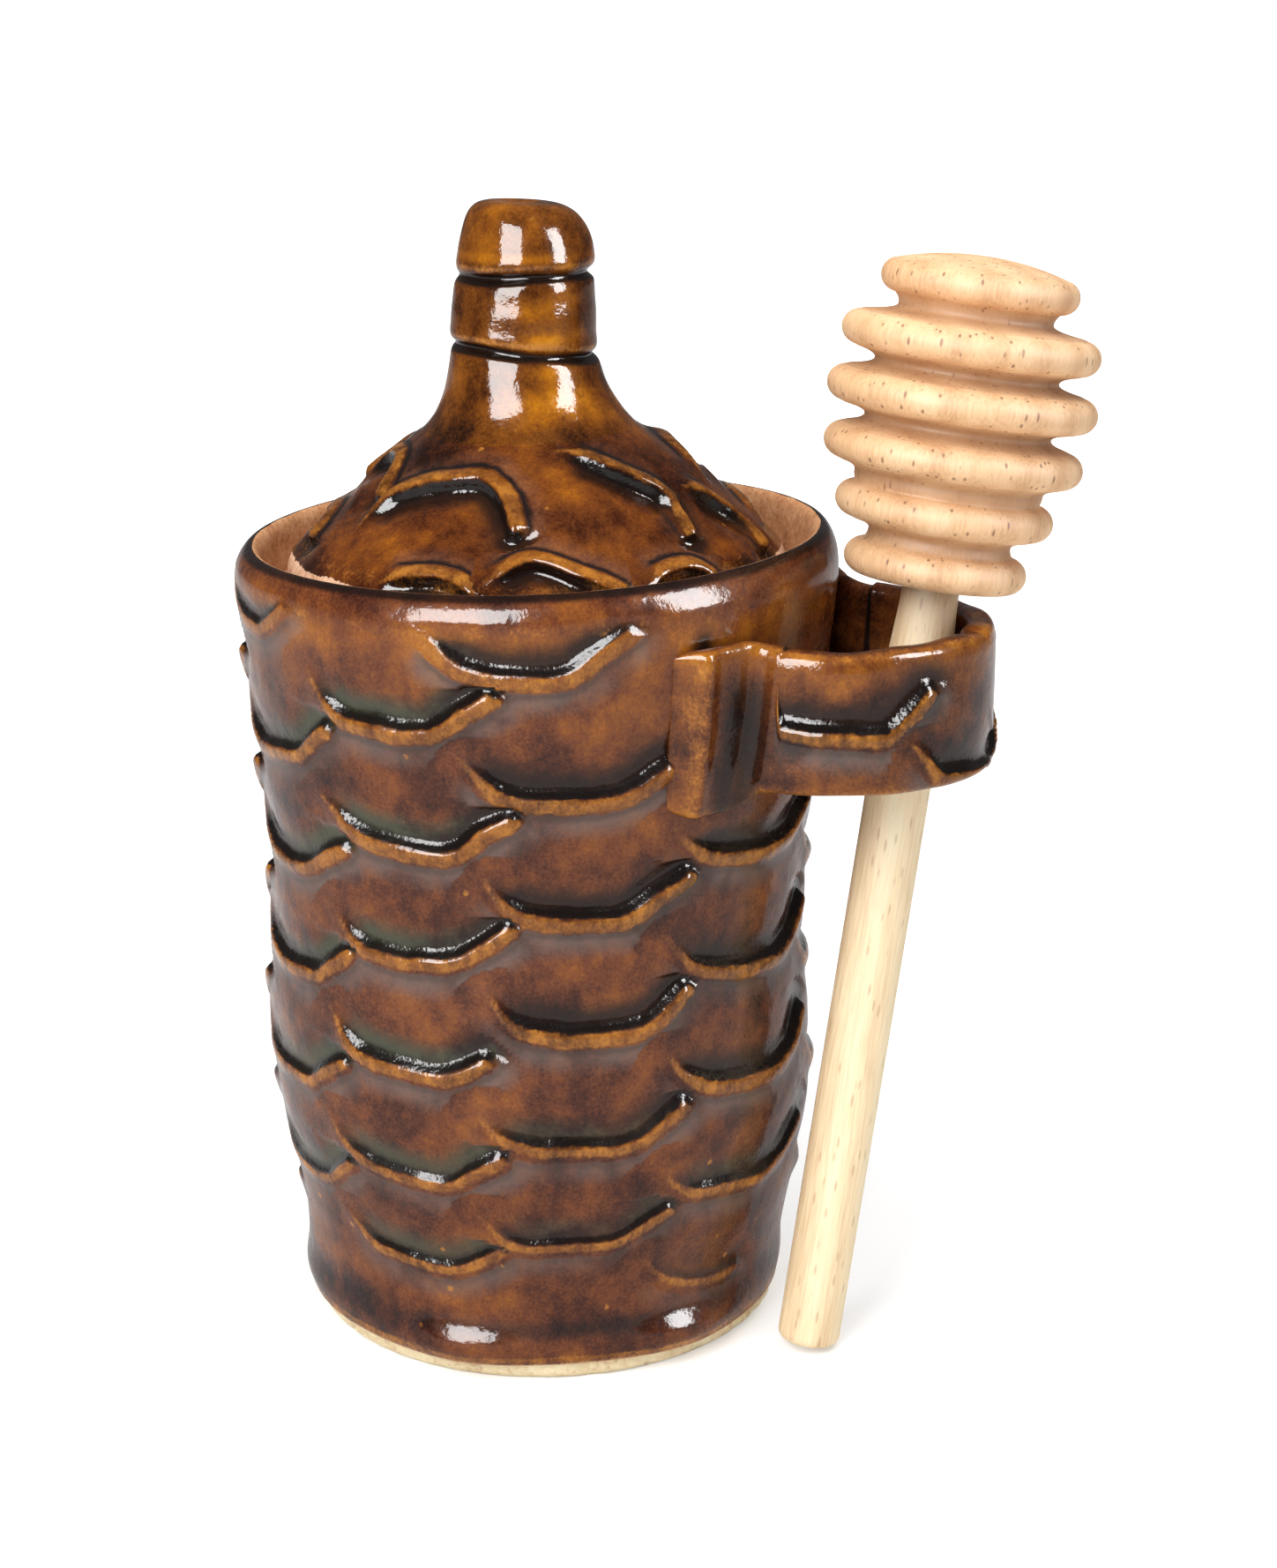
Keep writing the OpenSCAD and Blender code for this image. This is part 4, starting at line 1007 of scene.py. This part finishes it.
dipperSettings = {
    "foot": (42.6, -7.7), "lift": 0.83964, "heading": 50.8738, "tilt": 9.70294, "headStart": 107.9,
    "stickRadius": 4.3, "neckRadius": 3.8, "stickEnd": 1.2, "shoulder": 12.0, "bore": 14.0,
    "headDiameter": 35.8, "discPitch": 7.4, "discThickness": 4.5, "discs": [0.68, 0.81, 0.96, 1, 0.955, 0.73],
    "necks": [0.53, 0.7, 0.69, 0.68, 0.57], "cap": 1.6, "around": 170,
}


def onLeanAxis(a, r, h):
    s = dipperSettings
    turn = Matrix.Rotation(math.radians(s["heading"]), 3, "Z") @ Matrix.Rotation(math.radians(s["tilt"]), 3, "Y")
    return polarPoints(a, r, h) @ np.array(turn).T + np.array([*s["foot"], s["lift"]])


def beech(name, settings):
    material, tree, shader = newMaterial(name)
    s = dipperSettings
    place = addNode(tree, "ShaderNodeTexCoord").outputs["Object"]
    own = addNode(tree, "ShaderNodeMapping", vector_type="TEXTURE")
    feedAll(tree, own, {"Location": (s["foot"][0] * mm, s["foot"][1] * mm, s["lift"] * mm), "Vector": place,
                        "Rotation": (0, math.radians(s["tilt"]), math.radians(s["heading"]))})
    grain = own.outputs[0]

    def drawn(across, along):
        return vectorMaths(tree, "MULTIPLY", grain, (1 / across, 1 / across, 1 / along))

    fibres = noise(tree, drawn(0.00035, 0.006), 1000, 3)
    broad = noise(tree, drawn(0.0035, 0.04), 1000)
    # growth rings, cut across by the turning
    rings = addNode(tree, "ShaderNodeTexWave", wave_type="BANDS", bands_direction="X")
    feedAll(tree, rings, {"Vector": grain, "Scale": settings["ringScale"], "Distortion": 2.2, "Detail": 2,
                          "Detail Scale": 0.6})
    # the short dark rays that mark beech
    rays = addNode(tree, "ShaderNodeTexVoronoi", feature="F1")
    feedAll(tree, rays, {"Vector": drawn(0.0009, settings["rayLength"]), "Scale": 1, "Randomness": 1})
    chance = addNode(tree, "ShaderNodeSeparateColor")
    feed(tree, rays.outputs["Color"], chance.inputs[0])
    ray = times(tree, smooth(tree, rays.outputs["Distance"], 0.3, 0.12), smooth(tree, chance.outputs[0], 0.35, 0.6))
    tone = maths(tree, "ADD", times(tree, fibres, 0.45), times(tree, broad, 0.4))
    tone = maths(tree, "ADD", tone, times(tree, rings.outputs["Fac"], 0.12))
    colour = shades(tree, tone, settings["shades"])
    colour = mixColour(tree, times(tree, ray, settings["rayShare"]), colour, settings["ray"])
    # the groove shade is painted shade in the head's necks and on the stick under the head
    colour = mixColour(tree, times(tree, attributeOf(tree, "dark"), 0.75), colour, settings["grooveShade"])
    pores = maths(tree, "SUBTRACT", fibres, times(tree, ray, 0.6))
    feedAll(tree, shader, {"Base Color": colour, "Roughness": smooth(tree, fibres, 0.3, 0.7, 0.52, 0.7),
                           "Specular IOR Level": 0.35, "Normal": bumped(tree, pores, 0.00012, 0.55)})
    return material


def buildDipper(headWood, stickWood):
    s = dipperSettings
    half = s["headDiameter"] / 2
    e = s["discThickness"] / 2
    outline = [(0.4, s["bore"]), (s["neckRadius"] + 0.04, s["bore"])]
    outline += [(s["neckRadius"] + 0.04, h) for h in np.linspace(s["bore"] - 1, 0.4, 8)]
    outline += [(s["neckRadius"] + 0.35, 0.05), (half * 0.3, 0.0), (half * 0.44, 0.0)]
    depth = [0] * len(outline)
    for k, share in enumerate(s["discs"]):
        r = share * half
        first, last = (-84 if k == 0 else -86), (84 if k < 5 else 62)
        outline += arc(r - e, k * s["discPitch"] + e, e, np.linspace(first, last, 19))
        depth += [0] * 19
        if k < 5:
            neck = s["necks"][k] * half
            middle = (k + 0.5) * s["discPitch"] + e
            nearR, nextR = r - e, s["discs"][k + 1] * half - e
            for t in np.linspace(-1, 1, 11):
                gapHalf = (s["discPitch"] - s["discThickness"]) / 2 - 0.12
                side = nearR if t < 0 else nextR
                outline.append((neck + (side - neck) * abs(t) ** 2.2, middle + gapHalf * t))
                depth.append(1 - 0.55 * abs(t))
    topR = s["discs"][-1] * half
    topZ = 5 * s["discPitch"] + e + e * math.sin(math.radians(62))
    for t in np.linspace(0, 1, 10)[1:]:
        r = (topR - e + e * math.cos(math.radians(62))) * (1 - t) + 0.4 * t
        outline.append((r, topZ + (5 * s["discPitch"] + s["discThickness"] + s["cap"] - topZ) * (1 - (1 - t) ** 2)))
        depth.append(0)
    depth = np.array(depth)

    def shape(a, r, h):
        # lathe marks and slight hand sanding
        radius = r + harmonics(61, a, 0.05, (2, 3)) * (r > 5)
        return onLeanAxis(a, radius, s["headStart"] + h)

    # painted shade in the necks between the discs
    def marks(a, r, h):
        return {"dark": np.broadcast_to(depth, a.shape)}

    head = lathe("dipperHead", outline, s["around"], shape, marks)
    head.data.materials.append(headWood)
    tip = s["headStart"] + s["bore"] - 0.5
    thick, c = s["stickRadius"], s["stickEnd"]
    stickLine = [(0.4, 0), (thick - c - 0.6, 0)] + arc(thick - c, c, c, range(-90, 1, 10))
    start = s["headStart"] - s["shoulder"]
    stickLine += [(thick, h) for h in np.linspace(c, start, 60)[1:]]
    stickLine += [(blended(thick, s["neckRadius"], float(eased(t))), start + (s["shoulder"] - 0.5) * t)
                  for t in np.linspace(0, 1, 12)[1:]]
    stickLine += [(s["neckRadius"], tip), (0.4, tip)]

    def stickShape(a, r, h):
        # sawn foot with softly worn edge, and a stick that isn't quite round
        radius = r + harmonics(71, a, 0.05, (2, 3)) * (r > 3) * (h < s["headStart"] - 1)
        return onLeanAxis(a, radius, h)

    # painted shade on the stick just under the head
    def stickMarks(a, r, h):
        return {"dark": 0.8 * bell(h, s["headStart"] + 1, 2.5)}

    stick = lathe("dipperStick", stickLine, 96, stickShape, stickMarks)
    stick.data.materials.append(stickWood)
    return head, stick


# Make it

glazeColours = {
    "field": [(0.2, (0.02, 0.007, 0.0035, 1)), (0.34, (0.085, 0.027, 0.0075, 1)), (0.48, (0.185, 0.063, 0.0125, 1)),
              (0.62, (0.3, 0.11, 0.013, 1)), (0.8, (0.5, 0.2, 0.012, 1)), (0.95, (0.64, 0.29, 0.02, 1))],
    # the blue-grey colour below the lips is partly the glaze's haze and partly painted sheen and shade
    "amber": (0.5, 0.2, 0.03, 1), "amberDark": (0.22, 0.075, 0.013, 1), "hazeAndPaintedSheen": (0.14, 0.115, 0.105, 1),
    "under": (0.05, 0.032, 0.026, 1), "underShare": 0.5, "seam": (0.006, 0.004, 0.0035, 1),
    "poolDark": (0.014, 0.007, 0.005, 1), "poolGreen": (0.05, 0.058, 0.036, 1),
    "clay": [(0.32, (0.3, 0.12, 0.055, 1)), (0.5, (0.54, 0.26, 0.12, 1)), (0.66, (0.68, 0.4, 0.22, 1))],
    "tone": (0.74, 0.62, 1.0, 1), "cloudSize": 12, "warmth": 0.0, "warmShare": 0.2, "mottleMiddle": 0.42,
    # how strongly clouds, blots, grains and streaks each mottle the field
    "mottleShares": (0.75, 0.5, 0.32, 0.2),
    "lipBelow": 1.65, "lipAbove": 0.2, "hazeAndPaintedSheenShare": 0.6, "poolShare": 0.93, "lipShare": 0.8,
    "glossy": 0.2, "matt": 0.38, "coat": 0.42, "coatRoughness": 0.1, "specular": 0.05,
    "orangePeel": 0.5, "grit": 0.2, "poolCrinkle": 0.9,
}
print("finishes")
wetGlaze = dict(
    glazeColours, cloudSize=10, lipBelow=1.8, underShare=0.95, under=(0.008, 0.006, 0.006, 1), lipShare=0.65,
    glossy=0.1, matt=0.22, coatRoughness=0.07, hazeAndPaintedSheenShare=0.15, poolCrinkle=0.4, poolGreen=(0.03, 0.03, 0.024, 1))
wallGlaze = honeyGlaze("wallGlaze", glazeColours)
loopGlaze = honeyGlaze("loopGlaze", dict(glazeColours, cloudSize=10, glossy=0.14, matt=0.3, warmth=-0.06,
                                         tone=(0.85, 0.75, 0.9, 1)))
lidGlaze = honeyGlaze("lidGlaze", dict(
    wetGlaze, tone=(0.64, 0.5, 0.5, 1),
    clay=[(0.32, (0.42, 0.2, 0.1, 1)), (0.5, (0.7, 0.42, 0.27, 1)), (0.66, (0.84, 0.6, 0.43, 1))]))
knobGlaze = honeyGlaze("knobGlaze", dict(wetGlaze, orangePeel=0.4, tone=(0.9, 0.8, 0.5, 1)))
footClay = rawClay("bareClay", {
    "shades": [(0.3, (0.62, 0.4, 0.2, 1)), (0.48, (0.9, 0.74, 0.46, 1)), (0.66, (0.96, 0.88, 0.62, 1))],
    "stain": (0.5, 0.22, 0.08, 1), "stained": 0.5})
ledgeClay = rawClay("ledgeClay", {
    "shades": [(0.3, (0.34, 0.15, 0.08, 1)), (0.5, (0.52, 0.27, 0.15, 1)), (0.68, (0.62, 0.38, 0.25, 1))],
    "stain": (0.2, 0.08, 0.03, 1), "stained": 0.3})
headWood = beech("beechHead", {
    "shades": [(0.3, (0.6, 0.32, 0.15, 1)), (0.5, (0.78, 0.48, 0.25, 1)), (0.68, (0.86, 0.58, 0.34, 1))],
    "ray": (0.22, 0.085, 0.035, 1), "rayShare": 0.85, "rayLength": 0.003, "ringScale": 55,
    "grooveShade": (0.36, 0.18, 0.08, 1)})
stickWood = beech("beechStick", {
    "shades": [(0.3, (0.7, 0.48, 0.27, 1)), (0.5, (0.87, 0.68, 0.42, 1)), (0.68, (0.93, 0.79, 0.54, 1))],
    "ray": (0.45, 0.24, 0.11, 1), "rayShare": 0.5, "rayLength": 0.0042, "ringScale": 70,
    "grooveShade": (0.3, 0.15, 0.07, 1)})

reliefTree = scaleReliefTree()
print("pot")
potWall = buildWall(reliefTree, wallGlaze)
potBase = buildBase(footClay)
dipperLoop = buildLoop(reliefTree, loopGlaze)
print("lid")
lidDome = buildLid(reliefTree, lidGlaze)
lidKnob = buildKnob(knobGlaze)
print("dipper")
dipperHead, dipperStick = buildDipper(headWood, stickWood)

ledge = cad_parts["lid_ledge"]
ledge.data.materials.clear()
ledge.data.materials.append(ledgeClay)

for piece, body, node, finish in (
        (potWall, "pot", "pot_wall", "wall_glaze"), (potBase, "pot", "pot_base", "bare_clay"),
        (dipperLoop, "pot", "dipper_loop", "loop_glaze"), (lidDome, "lid", "lid_dome", "lid_glaze"),
        (lidKnob, "lid", "lid_knob", "knob_glaze"), (dipperHead, "dipper", "dipper_head", "beech_head"),
        (dipperStick, "dipper", "dipper_stick", "beech_stick")):
    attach(piece, body)
    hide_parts(node)

# Studio

studioSettings = {
    "floorSize": 3.0, "floorColour": (0.8, 0.8, 0.8, 1), "skyDiffuse": 0.5, "skyGlossy": 0.12,
    # name: angle round the pot, height angle, distance, width, height, watts, seen in reflections only
    "lamps": {
        "window": (-100, 40, 0.9, 0.5, 0.6, 7.0, False), "windowGleam": (-98, 25, 0.9, 0.6, 0.62, 36.0, True),
        "topSoft": (10, 78, 0.9, 0.7, 0.7, 5.0, False), "rightGleam": (-7, 25, 0.9, 0.34, 0.62, 26.0, True),
    },
}


def buildStudio():
    s = studioSettings
    size = s["floorSize"]
    low = -0.00005
    mesh = bpy.data.meshes.new("floor")
    mesh.from_pydata([(-size, -size, low), (size, -size, low), (size, size, low), (-size, size, low)], [],
                     [(0, 1, 2, 3)])
    floor = linked("floor", mesh)
    material, tree, shader = newMaterial("paleFloor")
    path = addNode(tree, "ShaderNodeLightPath")
    # the camera sees the far floor run out into plain white
    far = vectorMaths(tree, "LENGTH", addNode(tree, "ShaderNodeTexCoord").outputs["Object"])
    shine = times(tree, path.outputs["Is Camera Ray"], smooth(tree, far, 0.12, 0.7, 0.34, 1.0))
    feedAll(tree, shader, {"Base Color": s["floorColour"], "Roughness": 0.9, "Specular IOR Level": 0.1,
                           "Emission Color": (1, 1, 1, 1), "Emission Strength": shine})
    mesh.materials.append(material)

    world = bpy.data.worlds.new("studio")
    bpy.context.scene.world = world
    world.use_nodes = True
    tree = world.node_tree
    sky = tree.nodes["Background"]
    path = addNode(tree, "ShaderNodeLightPath")
    sky.inputs["Color"].default_value = (1, 1, 1, 1)
    around = mixValue(tree, path.outputs["Is Glossy Ray"], s["skyDiffuse"], s["skyGlossy"])
    feed(tree, mixValue(tree, path.outputs["Is Camera Ray"], around, 1.0), sky.inputs["Strength"])

    middle = Vector((0.01, 0, 0.08))
    for name, (angle, up, distance, width, height, watts, gleam) in s["lamps"].items():
        lamp = bpy.data.lights.new(name, "AREA")
        lamp.shape = "RECTANGLE"
        lamp.size, lamp.size_y, lamp.energy = width, height, watts
        holder = linked(name, lamp)
        a, u = math.radians(angle), math.radians(up)
        away = Vector((math.cos(a) * math.cos(u), math.sin(a) * math.cos(u), math.sin(u)))
        holder.location = middle + away * distance
        holder.rotation_euler = away.to_track_quat("Z", "Y").to_euler()
        holder.visible_camera = False
        holder.visible_diffuse, holder.visible_glossy = not gleam, gleam


def buildCamera():
    # fitted to the outlines of rim, foot and dipper in the photograph
    camera = bpy.data.cameras.new("photoCamera")
    camera.sensor_fit, camera.sensor_height, camera.lens = "VERTICAL", 36, 71.494
    camera.clip_start = 0.01
    holder = linked("photoCamera", camera)
    right = Vector((0.93321587, 0.35929191, -0.00417796))
    up = Vector((-0.0998751, 0.27054735, 0.95751193))
    back = Vector((0.34515663, -0.89314806, 0.28836339))
    place = Vector((0.16314588, -0.3843476, 0.20089))
    holder.matrix_world = Matrix([[right[k], up[k], back[k], place[k]] for k in range(3)] + [[0, 0, 0, 1]])
    bpy.context.scene.camera = holder


print("studio")
buildStudio()
buildCamera()
bpy.context.scene.view_settings.view_transform = "Standard"

print("done")
